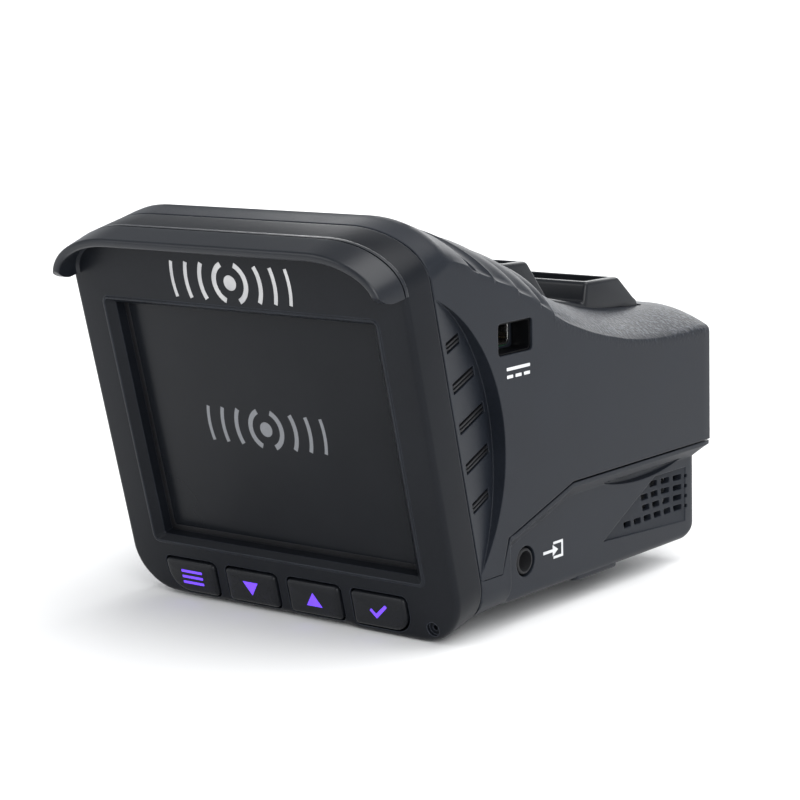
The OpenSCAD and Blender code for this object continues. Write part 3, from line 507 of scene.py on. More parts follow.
# grooves between the roof plates run straight across the middle and bend back over the shoulders
plates = {
    "grooves": [4.6, 9.4, 16.4, 23.8], "step": 29.7, "stepDeep": 0.7, "deep": 1.25, "wide": 0.34, "lip": 0.2,
    "low": 0.85, "rise": 6.0, "bendFrom": 27.5, "bend": 8.8,
    "follow": [(3.66, 0), (4.5, 0.84), (9.4, 1.02), (16.4, 0.98), (23.8, 0.85), (29.6, 0.6), (40, 0.2),
               (52, 0)],
}
jointLine = [(-20, -22.6), (18.3, -22.6), (20.2, -16.8), (39.5, -10.6), (200, -10.6)]


def plateDepth(at):
    # how far the surface lies below the roof line at a station
    depth = 0.0
    for groove in plates["grooves"]:
        away = at - groove
        if abs(away) <= plates["wide"] * 0.85:
            return plates["deep"] - 0.25 * (away / plates["wide"]) ** 2
        if 0 < away < plates["rise"]:
            depth += plates["low"] * (1 - easeIn(away / plates["rise"]))
        elif -1.4 < away < 0:
            depth -= plates["lip"] * easeIn((away + 1.4) / 1.2)
    return depth + plates["stepDeep"] * easeIn((at - plates["step"]) / 0.35)


def stationList(inset):
    if inset:
        return [roof["crest"] + 3 * i for i in range(27)]
    stops = [roof["crest"] + 0.6 * i for i in range(55)]
    stops += [37 + 1.5 * i for i in range(31)]
    stops += [roof["crest"] + x for x in (0.1, 0.2, 0.3)]
    fine = [x * plates["wide"] for x in (-1.6, -1.2, -0.8, -0.4, 0, 0.4, 0.8, 1.2, 1.6)]
    for groove in plates["grooves"]:
        stops = [x for x in stops if abs(x - groove) > plates["wide"] * 1.9] + [groove + x for x in fine]
    stops = [x for x in stops if abs(x - plates["step"] - 0.17) > 0.4]
    stops += [plates["step"] + x for x in (-0.12, 0.0, 0.09, 0.18, 0.27, 0.36, 0.5)]
    return sorted(stops)


def shoulderAngle(x, y, inset):
    # where x sits on the shoulder's arc
    across = between(roof["across"], y) - inset
    reach = abs(x) - (roof["half"] - inset - roof["fold"][0] - across)
    return math.radians(between(roof["sweep"], y)), min(1.0, max(0.0, reach / across))


def roofHeight(x, y, inset):
    sweep, share = shoulderAngle(x, y, inset)
    a = math.asin(share * math.sin(sweep))
    fall = (between(roof["drop"], y) - roof["fold"][1]) * (1 - math.cos(a)) / (1 - math.cos(sweep))
    return between(roof["line"], y) - inset - fall, a


def acrossSteps(half, across, sweep):
    steps, flat = roof["arcSteps"], roof["topSteps"]
    right = [half - across + across * math.sin(sweep * (1 - i / steps)) / math.sin(sweep)
             for i in range(steps + 1)]
    top = [right[-1] * (1 - 2 * i / flat) for i in range(1, flat)]
    return right + top + [-x for x in reversed(right)]


def closeRing(ring, half, lean):
    # rolls the shoulder over into the side walls and takes them down past the joint
    out = []
    for side, edge in ((1, ring[0]), (-1, ring[-1])):
        wall = []
        for shy, fall in ((0.13, 0.5), (0.0, 1.15), (0.0, 1.6), (0.0, edge.z - roof["bottom"])):
            wall.append(Vector((side * (half - shy), edge.y + fall * math.tan(lean), edge.z - fall)))
        out.append(wall)
    return list(reversed(out[0])) + ring + out[1]


def collarRing(face, inset, sink=0.0):
    # on a plane parallel to the screen, as far behind it as face says
    share = (face - roof["collarFrom"]) / (roof["collarTo"] - roof["collarFrom"])
    drop = roof["collarDrop"] + share * (roof["drop"][0][1] - roof["collarDrop"])
    across = roof["collarAcross"] + share * (roof["across"][0][1] - roof["collarAcross"])
    sweep = math.radians(88 + share * (roof["sweep"][0][1] - 88))
    half = roof["half"] - inset - sink
    ring = []
    for x in acrossSteps(half - roof["fold"][0], across - inset, sweep):
        reach = min(1.0, max(0.0, (abs(x) - (half - roof["fold"][0] - across + inset)) / (across - inset)))
        a = math.asin(reach * math.sin(sweep))
        fall = inset + sink + drop * (1 - math.cos(a)) / (1 - math.cos(sweep))
        up = roof["above"] - fall
        ring.append(Vector((x, face * math.cos(tilt) - up * math.sin(tilt),
                            face * math.sin(tilt) + up * math.cos(tilt))))
    return closeRing(ring, half, tilt)


def roofRing(at, inset, shrink=0.0):
    # one section of the roof; its points follow the bend of the grooves
    leaning = math.sin(tilt) * (1 - easeIn((at - roof["crest"]) / 6))
    half = roof["half"] - inset - shrink
    across, sweep = between(roof["across"], at) - inset, math.radians(between(roof["sweep"], at))
    sink = 0 if inset else plateDepth(at)
    ring = []
    for x in acrossSteps(half - roof["fold"][0], across, sweep):
        share = shoulderAngle(x, at, inset + shrink)[1]
        fall = between(roof["drop"], at) * share * share
        beyond = max(0.0, (abs(x) - plates["bendFrom"]) / (roof["half"] - plates["bendFrom"]))
        y = at + fall * leaning
        if not inset:
            y += plates["bend"] * beyond ** 1.25 * between(plates["follow"], at)
        z, a = roofHeight(x, y, inset + shrink)
        less = sink * (1 - 0.35 * share ** 3)
        ring.append(Vector((x - math.copysign(less * math.sin(a), x), y, z - less * math.cos(a))))
    return closeRing(ring, half, tilt * max(0.0, 1 - (at - roof["crest"]) / 21))


def roofLoft(name, inset):
    if inset:
        rings = [collarRing(face, inset) for face in (5.5, 9.5)]
        rings += [roofRing(at, inset) for at in stationList(inset)]
        rings.append(roofRing(roof["end"] - inset, inset))
        return stackRings(name, rings)
    first, r = roof["collarFrom"], roof["endRound"]
    seam = [(first, 0.5), (first + 0.08, 0.5), (first + 0.12, 0.1), (first + 0.3, 0), (9, 0), (10.4, 0),
            (11.2, 0)]
    rings = [collarRing(face, 0, sink) for face, sink in seam]
    rings += [roofRing(at, 0) for at in stationList(0)]
    rings += [roofRing(roof["end"] - r + r * rise, 0, r * fall) for rise, fall in quarter(5)]
    return stackRings(name, rings)


scoop = {"radius": 30, "inward": -10.3, "up": 0.5, "deep": 3.2, "from": 6.9, "flat": 7, "steps": 48}
louvre = {"count": 5, "first": 15.9, "pitch": 7.05, "high": 1.9, "from": 8.4, "short": 1.3}


def facePoint(u, v, inward):
    return faceToBody @ Vector((u, v, -inward))


def scoopTool(side, grow=0.0, near=None):
    # wedge under a circular arc, deeper towards the road
    reach = scoop["radius"] + grow
    start = near or scoop["from"]
    widest = math.acos((start - scoop["inward"]) / reach)
    steps = scoop["steps"]
    slope = scoop["deep"] / (scoop["inward"] + scoop["radius"] + 1 - scoop["flat"])
    skin = roof["half"] - roof["wall"]
    lower, upper = [], []
    for i in range(steps + 1):
        a = widest * (2 * i / steps - 1)
        inward = scoop["inward"] + reach * math.cos(a)
        v = scoop["up"] + reach * math.sin(a)
        if near:
            low, high = skin - scoop["deep"], skin + 0.5
        else:
            low, high = roof["half"] - slope * (inward - scoop["flat"]), roof["half"] + 3
        lower.append(facePoint(side * low, v, inward))
        upper.append(facePoint(side * high, v, inward))
    return stackRings("scoopTool", [lower, upper])


def louvreTool(side, i):
    v = louvre["first"] - i * louvre["pitch"]
    far = (scoop["inward"] + math.sqrt(scoop["radius"] ** 2 - (abs(v - scoop["up"]) + 1) ** 2)
           - louvre["short"])
    placing = faceToBody @ Matrix(((0, 0, 1, 0), (0, 1, 0, 0), (-1, 0, 0, 0), (0, 0, 0, 1)))
    outline = roundPanel(louvre["from"], far, v - louvre["high"] / 2, v + louvre["high"] / 2, 0.25, 3)
    return slab("louvreTool", outline, side * 24, side * 40, placing)


port = {"y": 23.1, "z": 16.9, "wide": 9.7, "high": 5.5, "deep": 4.2, "round": 0.7, "plug": (7.7, 3.9)}
cradle = {"half": 26.2, "from": 34.2, "to": 79.15, "low": 8}
roadEnd = {"half": 31.15, "low": -8.55, "high": 8.35, "round": 3.1, "seat": 1.2}
skinBack = roof["half"] - port["deep"]


def portOutline(grow):
    return panelAt(port["y"], port["z"], port["wide"] + 2 * grow, port["high"] + 2 * grow, port["round"], 4)


def socketOutline(grow):
    wide, high = port["plug"]
    return panelAt(port["y"], port["z"], wide + 2 * grow, high + 2 * grow, (1.1, 1.1, 0.4, 0.4), 5)


def roadOutline(inset):
    return roundPanel(-roadEnd["half"] + inset, roadEnd["half"] - inset, roadEnd["low"] + inset,
                      roadEnd["high"] - inset, roadEnd["round"] - inset)


def buildUpperShell():
    shell = roofLoft("upperShell", 0.0)
    hollow = roofLoft("hollow", roof["wall"])
    carve(hollow, [scoopTool(side, 1.5, 10.8) for side in (1, -1)])
    inside = roof["half"] - roof["wall"] + 0.5
    carve(hollow, [slab("portBlock", portOutline(1.0), skinBack - 1.2, inside, sideToBody)])
    below = [(-30, -60)] + jointLine[:-1] + [(100, jointLine[-1][1]), (100, -60)]
    tools = [hollow, slab("below", below, -60, 60, sideToBody)]
    tools += [scoopTool(1), scoopTool(-1)]
    tools += [louvreTool(side, i) for side in (1, -1) for i in range(louvre["count"])]
    tools.append(slab("portHole", portOutline(0), skinBack, roof["half"] + 1, sideToBody))
    tools.append(slab("socketHole", socketOutline(0.12), skinBack - 2, roof["half"], sideToBody))
    seat = roundPanel(-cradle["half"], cradle["half"], cradle["from"], cradle["to"], 1.2)
    tools.append(slab("cradleHole", seat, cradle["low"], 60))
    tools.append(slab("roadHole", roadOutline(roadEnd["seat"]), roof["end"] - 3, roof["end"] + 1, roadToBody))
    tools.append(slab("roadSeat", roadOutline(0), roof["end"] - roadEnd["seat"], roof["end"] + 1, roadToBody))
    carve(shell, tools)
    return finishPiece(shell, "housing", shellPlastic, ["upper_shell"], sharp=24)


buildUpperShell()
print("upper shell built")


base = {
    "half": 36.0, "joint": 37.2, "floor": -28.8, "end": 81.5, "lip": 84.9, "rearRound": 4.2, "sideRound": 1.3,
    "wall": 2.0, "bezelBelow": 34.0, "bezelRound": 9.0, "band": (0.7, 2.4), "from": 77.0, "gap": 0.17,
    "neck": [(13.5, 37.2, -30.75, 7.2), (18.4, 37.2, -29.75, 5.6), (20.75, 37.2, -29.2, 4.4),
             (21.1, 36.0, -28.85, 1.9)],
    "jointLine": [(18.5, -22.75), (20.4, -16.95), (39.6, -10.78), (90, -10.78)],
}


def straight(table, at):
    if at <= table[0][0]:
        return table[0][1]
    for (a, va), (b, vb) in zip(table, table[1:]):
        if at <= b:
            return va + (vb - va) * (at - a) / (b - a)
    return table[-1][1]


def baseOutline(top, band, narrow, floor, radius, inset):
    # half section from the joint down: lip, band sloping in, side, rounded foot
    wide = base["joint"] - inset
    right = [(wide, top), (wide, top - band[0]), (narrow - inset, top - band[1])]
    for rise, fall in quarter(8):
        right.append((narrow - inset - radius * fall, floor + inset + radius * (1 - rise)))
    return right + [(-x, z) for x, z in reversed(right)]


def baseLoft(name, inset):
    top = 1.0 if inset else 0.0
    seam = roof["collarFrom"] - (2 if inset else 0)
    band, floor = base["band"], base["floor"]
    shape = baseOutline(-24.7 + top, (0.05, 0.1), base["joint"], -base["bezelBelow"],
                        base["bezelRound"] - inset, inset)
    rings = [[faceToBody @ Vector((x, v, -seam)) for x, v in shape]]
    for y, narrow, low, radius in base["neck"]:
        fall = (0.1, 0.2) if narrow > base["half"] else band
        shape = baseOutline(straight(base["jointLine"], y) + top, fall, narrow, low,
                            max(0.3, radius - inset), inset)
        rings.append([Vector((x, y, z)) for x, z in shape])
    top -= 0.0 if inset else base["gap"]
    for y in (22.5, 26, 32, 39.6, 50, 60, 70, base["from"]):
        shape = baseOutline(straight(base["jointLine"], y) + top, band, base["half"], floor,
                            max(0.2, base["sideRound"] - inset), inset)
        rings.append([Vector((x, y, z)) for x, z in shape])
    joinZ = straight(base["jointLine"], 80)
    for share, lift in quarter(12, 1):
        # towards the end the lip runs further back than the side, and the corners close in
        close = 1 - math.sqrt(max(0.0, 1 - max(0.0, (share - 0.55) / 0.45) ** 2))
        low = floor + (base["rearRound"] - inset) * lift
        shape = baseOutline(joinZ + top, band, base["half"] - 1.7 * close, low,
                            max(0.2, base["sideRound"] - inset), inset)
        ring = []
        for j, (x, z) in enumerate(shape):
            lip = j in (0, 1, len(shape) - 2, len(shape) - 1)
            end = (base["lip"] if lip else base["end"]) - inset
            if lip:
                x = math.copysign(abs(x) - 0.5 * close, x)
            ring.append(Vector((x, base["from"] + (end - base["from"]) * share, z)))
        rings.append(ring)
    return stackRings(name, rings)


grille = {
    "field": [(77.8, -15.0, 0.12), (77.6, -25.2, 0.1), (50.2, -23.7, 0.6), (67.3, -14.9, 1.85)],
    "rows": [(-16.7, 3), (-18.6, 4), (-20.5, 4), (-22.4, 6)],
    "last": 75.6, "pitch": 3.3, "hole": (2.35, 1.05), "slit": (0.8, 0.7), "slitAt": 77.9, "through": 5,
}
groove = {"from": 50, "long": 25.5, "low": -13.3, "high": -13.1, "deep": 1.3, "steps": 24}
jack = {"y": 26.6, "z": -22.3, "nose": 2.3, "bore": 1.8, "deep": 11.5, "block": (6, 5.8)}
pads = {"x": 31, "y": 48.8, "wide": 9.2, "long": 13.2, "low": 0.6, "round": 0.9}
cardSlot = {"y": 68.0, "z": -24.23, "wide": 12.4, "high": 1.5}
wellPlaces = [(side * 31.0, y) for side in (1, -1) for y in (35, 52)]


def grilleRecess():
    # triangular field, sunk deepest at its upper forward corner
    points = [(base["half"] - deep, y, z) for y, z, deep in grille["field"]]
    points += [(base["half"] + 1, y, z) for y, z, deep in grille["field"]]
    faces = [(0, 1, 3), (1, 2, 3), (4, 5, 6, 7), (0, 1, 5, 4), (1, 2, 6, 5), (2, 3, 7, 6), (3, 0, 4, 7)]
    return newPiece("grilleField", points, faces)


def grilleHoles():
    outlines = []
    for z, count in grille["rows"]:
        outlines += [panelAt(grille["last"] - col * grille["pitch"], z, *grille["hole"], 0.2, 2)
                     for col in range(count)]
        outlines.append(panelAt(grille["slitAt"], z, *grille["slit"], 0.15, 2))
    return [slab("grilleHole", outline, base["half"] - grille["through"], base["half"] + 1, sideToBody)
            for outline in outlines]


def fingerGroove():
    # long lens-shaped shadow groove just under the band
    lower, upper = [], []
    for i in range(groove["steps"]):
        share = i / (groove["steps"] - 1)
        y = groove["from"] + groove["long"] * share
        swell = math.sin(math.pi * share) ** 0.8
        lower.append((y, groove["low"] - 1.5 * swell))
        upper.append((y, groove["high"] + 0.1 * swell))
    outline = lower[1:-1] + list(reversed(upper))
    inner = []
    for y, z in outline:
        bow = max(0.05, math.sin(math.pi * (y - groove["from"]) / groove["long"]))
        inner.append(Vector((base["half"] - groove["deep"] * bow, y, z + 0.35)))
    outer = [Vector((base["half"] + 0.5, y, z)) for y, z in outline]
    return stackRings("fingerGroove", [inner, outer])


def buildLowerShell():
    shell = baseLoft("lowerShell", 0.0)
    for side in (1, -1):
        outline = lambda inset: panelAt(side * pads["x"], pads["y"], pads["wide"] - 2 * inset,
                                        pads["long"] - 2 * inset, pads["round"])
        pad = slab("pad", outline, base["floor"] + 1.5, base["floor"] - pads["low"], edge=0.55)
        carve(shell, [pad], "UNION")
    tools = [baseLoft("hollow", base["wall"])]
    tools.append(slab("jackHole", disc(jack["y"], jack["z"], jack["nose"] + 0.4), 32, 39, sideToBody))
    tools += [grilleRecess(), fingerGroove()] + grilleHoles()
    slot = panelAt(cardSlot["y"], cardSlot["z"], cardSlot["wide"], cardSlot["high"], 0.4, 3)
    tools.append(slab("cardSlot", slot, -base["half"] - 3, -base["half"] + 4, sideToBody))
    for x, y in wellPlaces:
        tools.append(slab("well", disc(x, y, 2.2), base["floor"] - 1, base["floor"] + 1.98))
    carve(shell, tools)
    posts = []
    for x, y in wellPlaces:
        posts.append(slab("post", disc(x, y, 3.0), base["floor"] + 1.2, -10.9))
        carve(posts[-1], [slab("bore", disc(x, y, 1.25), base["floor"] - 1, 0),
                          slab("bore", disc(x, y, 2.2), base["floor"] - 1, base["floor"] + 4)])
    carve(shell, posts, "UNION")
    return finishPiece(shell, "housing", lowerPlastic, ["lower_shell"], sharp=24)


buildLowerShell()
print("lower shell built")


front = {
    "half": 37.2, "above": 36.6, "below": 34.0, "deep": 7.0, "edge": 1.1,
    "bottomRound": 9.0, "topRound": (15.0, 8.5),
    "screen": (29.0, 22.2), "slopeOut": (30.75, 23.3), "slopeDeep": 0.9, "windowDeep": 3.1,
    "rebate": (31.0, 24.2), "rebateDeep": 4.3, "trayHole": (32.2, 24.6),
    "rimSteps": (12.4, 13.2, 14.0, 14.8), "bead": [(0.3, 0), (0.04, 0.2), (-0.2, 0.2), (-0.42, -0.1)],
    "soundHole": (31.1, -31.2), "posts": (33.7, 17),
}
keys = {
    "names": ["menu", "down", "up", "ok"], "middle": -1.3, "pitch": 14.4, "v": -29.45, "wide": 11.6,
    "high": 6.1, "proud": 0.6, "gap": 0.42, "round": 0.8, "menuRound": 4.4, "okRound": 3.0, "back": 3.2,
}


def frontOutline(inset, steps=12):
    rx, ry = front["topRound"]
    low, top = front["bottomRound"] - inset, (rx - inset, ry - inset)
    return roundPanel(-front["half"] + inset, front["half"] - inset, -front["below"] + inset,
                      front["above"] - inset, (low, low, top, top), steps)


def faceRing(outline, out):
    return [faceToBody @ Vector((u, v, out)) for u, v in outline]


def keyOutline(i, grow):
    r = keys["round"]
    radii = [keys["menuRound"] if i == 0 else r, keys["okRound"] if i == 3 else r, r, r]
    return panelAt(keys["middle"] + (i - 1.5) * keys["pitch"], keys["v"], keys["wide"] + 2 * grow,
                   keys["high"] + 2 * grow, [x + grow for x in radii], 6)


def steppedEdge(outline, steps=12):
    # puts four more points in the bottom edge, where the rim drops slightly towards the right
    left, right = outline[steps], outline[steps + 1]
    slope = (right[1] - left[1]) / (right[0] - left[0])
    extra = [(u, left[1] + slope * (u - left[0])) for u in front["rimSteps"]]
    return outline[:steps + 1] + extra + outline[steps + 1:]


def liftedRim(outline):
    # the rim left of the step sits half a millimetre higher
    return [(u, v + 0.5 * (1 - easeIn((u - 12.6) / 2.0)) * easeIn((-24 - v) / 9)) for u, v in outline]


def rimRing(inset, out):
    return faceRing(liftedRim(steppedEdge(frontOutline(inset))), out)


def openingRing(size, out, r=0.3, grow=0.0):
    return faceRing(steppedEdge(panelAt(0, 0, 2 * (size[0] + grow), 2 * (size[1] + grow), r, 12)), out)


def buildFrontFrame():
    edge, window, back = front["edge"], -front["windowDeep"], -front["rebateDeep"]
    rear = [(0.5, front["deep"]), (0.5, 6.92), (0.1, 6.88), (0, 6.7)]
    rings = [rimRing(inset, -out) for inset, out in rear]
    rings += [rimRing(edge * fall, -edge * (1 - rise)) for rise, fall in quarter(6)]
    rings += [openingRing(front["slopeOut"], out, 1.1 + grow, grow) for grow, out in front["bead"]]
    rings.append(openingRing(front["screen"], -front["slopeDeep"] + 0.1, 0.5, 0.2))
    for size, out in ((front["screen"], -front["slopeDeep"] - 0.15), (front["screen"], window),
                      (front["rebate"], window), (front["rebate"], back), (front["trayHole"], back),
                      (front["trayHole"], -front["deep"])):
        rings.append(openingRing(size, out))
    piece = stackRings("frontFrame", rings, loop=True)
    tools = [slab("keyHole", keyOutline(i, keys["gap"]), 1, -2.4, faceToBody) for i in range(4)]
    reach = 3 * keys["pitch"] + keys["wide"] + 2.8
    pocket = panelAt(keys["middle"], keys["v"], reach, 6.6, (2.5, 2.5, 0.5, 0.5), 4)
    tools.append(slab("keyPocket", pocket, -2.2, -8, faceToBody))
    tools.append(slab("soundDish", disc(*front["soundHole"], 1.25), 1, -0.7, faceToBody))
    tools.append(slab("soundHole", disc(*front["soundHole"], 0.5, 16), 1, -3, faceToBody))
    carve(piece, tools)
    u, v = front["posts"]
    corners = [(u, v), (u, -v), (-u, v), (-u, -v)]
    posts = [slab("post", disc(*corner, 1.4, 24), -6, -8.9, faceToBody) for corner in corners]
    carve(piece, posts, "UNION")
    return finishPiece(piece, "housing", frontPlastic, ["front_frame"], sharp=26)


visor = {
    "reach": 5.4, "wall": 1.55, "drop": 9.1, "droop": 0.55, "lip": 0.65, "cheekRound": 4.2,
    "root": [(0.0, -0.46), (0.03, -0.42), (0.5, -0.4), (0.5, -0.14), (0.03, -0.12), (0.0, -0.06), (0.05, 0.5),
             (0.16, 1.2)],
}


def visorSection():
    # (how far inside the outline, how far out of the face), once round the section
    edge, droop, reach, wall, lip = front["edge"], visor["droop"], visor["reach"], visor["wall"], visor["lip"]
    section = [(0.0, -edge)] + visor["root"]
    section += [(droop + lip * fall, reach - lip + lip * rise) for rise, fall in quarter(5)]
    section += [(droop + wall - lip + lip * rise, reach - lip * fall) for rise, fall in quarter(5)]
    section += [(wall + 0.25, 0.6), (wall + 0.6, 0.0), (edge, 0.0)]
    section += [(edge * fall, -edge * (1 - rise)) for rise, fall in reversed(quarter(5)[1:5])]
    return section


def buildVisor():
    rx, ry = front["topRound"]
    cheek = front["above"] - visor["drop"] - 1
    section = visorSection()
    half = [(0, 0, cheek + (front["above"] - ry - cheek) * i / 4) for i in range(4)]
    half += [(rx, ry, math.pi / 2 * i / 18) for i in range(19)]
    path = [(1, *stop) for stop in half] + [(-1, *stop) for stop in reversed(half)]
    rings = []
    for side, across, up, at in path:
        ring = []
        for inset, out in section:
            if across:
                u = front["half"] - across + (across - inset) * math.cos(at)
                v = front["above"] - up + (up - inset) * math.sin(at)
            else:
                u, v = front["half"] - inset, at
            ring.append(faceToBody @ Vector((side * u, v, out)))
        rings.append(ring)
    piece = stackRings("sunVisor", rings)
    low = front["above"] - visor["drop"]
    keep = roundPanel(-2, visor["reach"] + 0.6, low, 60, (0.02, visor["cheekRound"], 0.02, 0.02), 12)
    placing = faceToBody @ Matrix(((0, 0, 1, 0), (0, 1, 0, 0), (1, 0, 0, 0), (0, 0, 0, 1)))
    carve(piece, [slab("cheekForm", keep, -60, 60, placing)], "INTERSECT")
    return finishPiece(piece, "housing", visorPlastic, ["sun_visor"], sharp=30)


def keyFace(i):
    # plate with a rolled edge and a faintly crowned top
    rings = [faceRing(keyOutline(i, 0), -keys["back"]), faceRing(keyOutline(i, 0), keys["proud"] - 0.5)]
    for rise, fall in quarter(5, 1):
        rings.append(faceRing(keyOutline(i, -0.75 * fall), keys["proud"] - 0.5 + 0.42 * rise))
    rings.append(faceRing(keyOutline(i, -1.4), keys["proud"]))
    name = keys["names"][i]
    piece = stackRings("key" + name.capitalize(), rings)
    return finishPiece(piece, "key_" + name, keyPlastic, ["key_" + name], sharp=40)


def bar(x, y, wide, high, r=None):
    r = min(wide, high) * 0.3 if r is None else r
    return panelAt(x, y, wide, high, r, 4)


def rim(x, y, outer, inner, start, end, steps=20):
    # part of a ring, as an outline
    angles = [math.radians(start + (end - start) * i / steps) for i in range(steps + 1)]
    out = [(x + outer * math.cos(a), y + outer * math.sin(a)) for a in angles]
    back = [(x + inner * math.cos(a), y + inner * math.sin(a)) for a in reversed(angles)]
    return out + back


def joinOutlines(name, outlines, near, far, placing):
    piece = slab(name, outlines[0], near, far, placing)
    rest = [slab(name + "part", outline, near, far, placing) for outline in outlines[1:]]
    skin = bmesh.new()
    skin.from_mesh(piece.data)
    for other in rest:
        skin.from_mesh(other.data)
        bpy.data.objects.remove(other)
    skin.to_mesh(piece.data)
    skin.free()
    return piece


def keyLegend(i):
    u, v = keys["middle"] + (i - 1.5) * keys["pitch"], keys["v"]
    if i == 0:
        marks = [bar(u + 0.3, v + step * 1.1, 5.0, 0.5) for step in (-1, 0, 1)]
    elif i == 1:
        marks = [[(u - 1.75, v + 1.2), (u, v - 1.35), (u + 1.75, v + 1.2)]]
    elif i == 2:
        marks = [[(u - 1.75, v - 1.2), (u + 1.75, v - 1.2), (u, v + 1.35)]]
    else:
        marks = [[(u - 1.9, v + 0.1), (u - 1.5, v + 0.5), (u - 0.6, v - 0.4), (u + 1.6, v + 1.5),
                  (u + 2.0, v + 1.1), (u - 0.6, v - 1.3)]]
    name, top = keys["names"][i], keys["proud"]
    piece = joinOutlines("legend" + name.capitalize(), marks, top - 0.05, top + 0.02, faceToBody)
    return finishPiece(piece, "key_" + name, violetLegend)


def waveEmblem(name, u, v, size, out, material):
    # a dot with waves spreading to both sides, the outer ones thinner
    marks = [disc(u, v, 0.085 * size, 28)]
    for i in range(4):
        radius = size * (0.22 + 0.2 * i)
        spread = math.degrees(math.asin(min(0.93, 0.2 * size / radius)))
        thick = size * (0.03 - 0.003 * i)
        for middle in (0, 180):
            marks.append(rim(u, v, radius + thick, radius - thick, middle - spread, middle + spread))
    piece = joinOutlines(name, marks, out - 0.05, out + 0.03, faceToBody)
    return finishPiece(piece, "housing", material)


buildFrontFrame()
buildVisor()
for i in range(4):
    keyFace(i)
    keyLegend(i)
waveEmblem("emblem", 0.3, 27.8, 16.0, 0.0, silverPrint)
print("front built")


def buildScreen():
    wide, high = (2 * (size - 0.1) for size in front["rebate"])
    pane = slab("screenWindow", lambda inset: panelAt(0, 0, wide - 2 * inset, high - 2 * inset, 0.8 - inset),
                -4.2, -front["windowDeep"], faceToBody, 0.12)
    return finishPiece(pane, "housing", windowGlass, ["screen_window"])


def buildScreenShadowBorder():
    # painted shadow: a black border on the glass inside the opening, standing in for the shade of the
    # opening's walls
    ring = slab("screenShadowBorder", roundPanel(-29.2, 29.2, -22.4, 22.4, 0.3), -3.11, -3.05, faceToBody)
    carve(ring, [slab("clear", roundPanel(-28.1, 28.1, -21.2, 21.6, 0.5), -4, -2, faceToBody)])
    return finishPiece(ring, "housing", insertPlastic)


buildScreen()
buildScreenShadowBorder()
waveEmblem("screenEmblem", -1.0, 0.1, 16.0, -3.1, screenMark)
print("screen built")


ridge = {
    "half": 26.0, "wall": 1.3, "deep": 4.8,
    "section": [(34.4, 20.6), (34.4, 25.6), (35.4, 27.0), (42.6, 26.8), (48.6, 19.6), (60.0, 17.1),
                (60.6, 21.0), (71.2, 20.8), (76.2, 16.6), (77.6, 15.75), (77.6, 13.2), (71.2, 14.6),
                (60.6, 14.6), (48.6, 17.0), (41.3, 20.6)],
    "pockets": [(36.7, 4.6, 27.0), (61.9, 8.0, 21.0)],
}


def buildCradle():
    piece = slab("mountCradle", ridge["section"], -ridge["half"], ridge["half"], sideToBody)
    softenEdges(piece, 0.75, 4, 25)
    wide = ridge["half"] - ridge["wall"]
    tools = []
    for start, long, top in ridge["pockets"]:
        outline = roundPanel(-wide, wide, start, start + long, 0.5, 4)
        tools.append(slab("pocket", outline, top - ridge["deep"], top + 4))
    carve(piece, tools)
    return finishPiece(piece, "housing", cradlePlastic, ["mount_cradle"], sharp=30)


def buildPowerSocket():
    y, z, back = port["y"], port["z"], skinBack
    inner = panelAt(y, z, 7.0, 3.2, (0.9, 0.9, 0.2, 0.2), 5)
    receptacle = slab("powerSocket", socketOutline(0), back - 9, back, sideToBody)
    carve(receptacle, [slab("mouth", inner, back - 8.4, back + 1, sideToBody)])
    finishPiece(receptacle, "housing", nickel, ["power_socket"])
    # painted shade: a near-black liner on the port's walls makes the port's interior read as shaded
    shadeLiner = slab("portShadeLiner", portOutline(-0.02), back + 0.02, base["joint"] - 0.45, sideToBody)
    carve(shadeLiner, [slab("shadeLinerBore", portOutline(-0.3), back - 1, base["joint"] + 1, sideToBody)])
    finishPiece(shadeLiner, "housing", portShadePlastic)
    outline = lambda inset: panelAt(y, z + 0.325, 5.2 - 2 * inset, 0.85 - 2 * inset, 0.15, 3)
    tongue = slab("powerTongue", outline, back - 8.4, back - 1.2, sideToBody, 0.15)
    finishPiece(tongue, "housing", chipEpoxy, ["power_contacts"])
    strips = [bar(y + step * 0.8, z - 0.14, 0.36, 0.08, 0.02) for step in (-2, -1, 0, 1, 2)]
    pins = joinOutlines("powerPins", strips, back - 8.3, back - 1.5, sideToBody)
    finishPiece(pins, "housing", goldFlash)


def buildJack():
    x, y, z, deep = base["half"] - 0.1, jack["y"], jack["z"], jack["deep"]
    block = slab("block", bar(y, z, *jack["block"], 0.3), x - 2 - deep, x - 2.02, sideToBody)
    nose = slab("videoJack", lambda inset: disc(y, z, jack["nose"] - inset), x - 2.4, x, sideToBody, 0.35, 5)
    carve(nose, [block], "UNION")
    carve(nose, [slab("bore", disc(y, z, jack["bore"]), x - deep, x + 1, sideToBody)])
    return finishPiece(nose, "housing", chipEpoxy, ["video_jack"])


def sideMark(name, outlines, x):
    piece = joinOutlines(name, outlines, x - 0.05, x + 0.03, sideToBody)
    return finishPiece(piece, "housing", whitePrint)


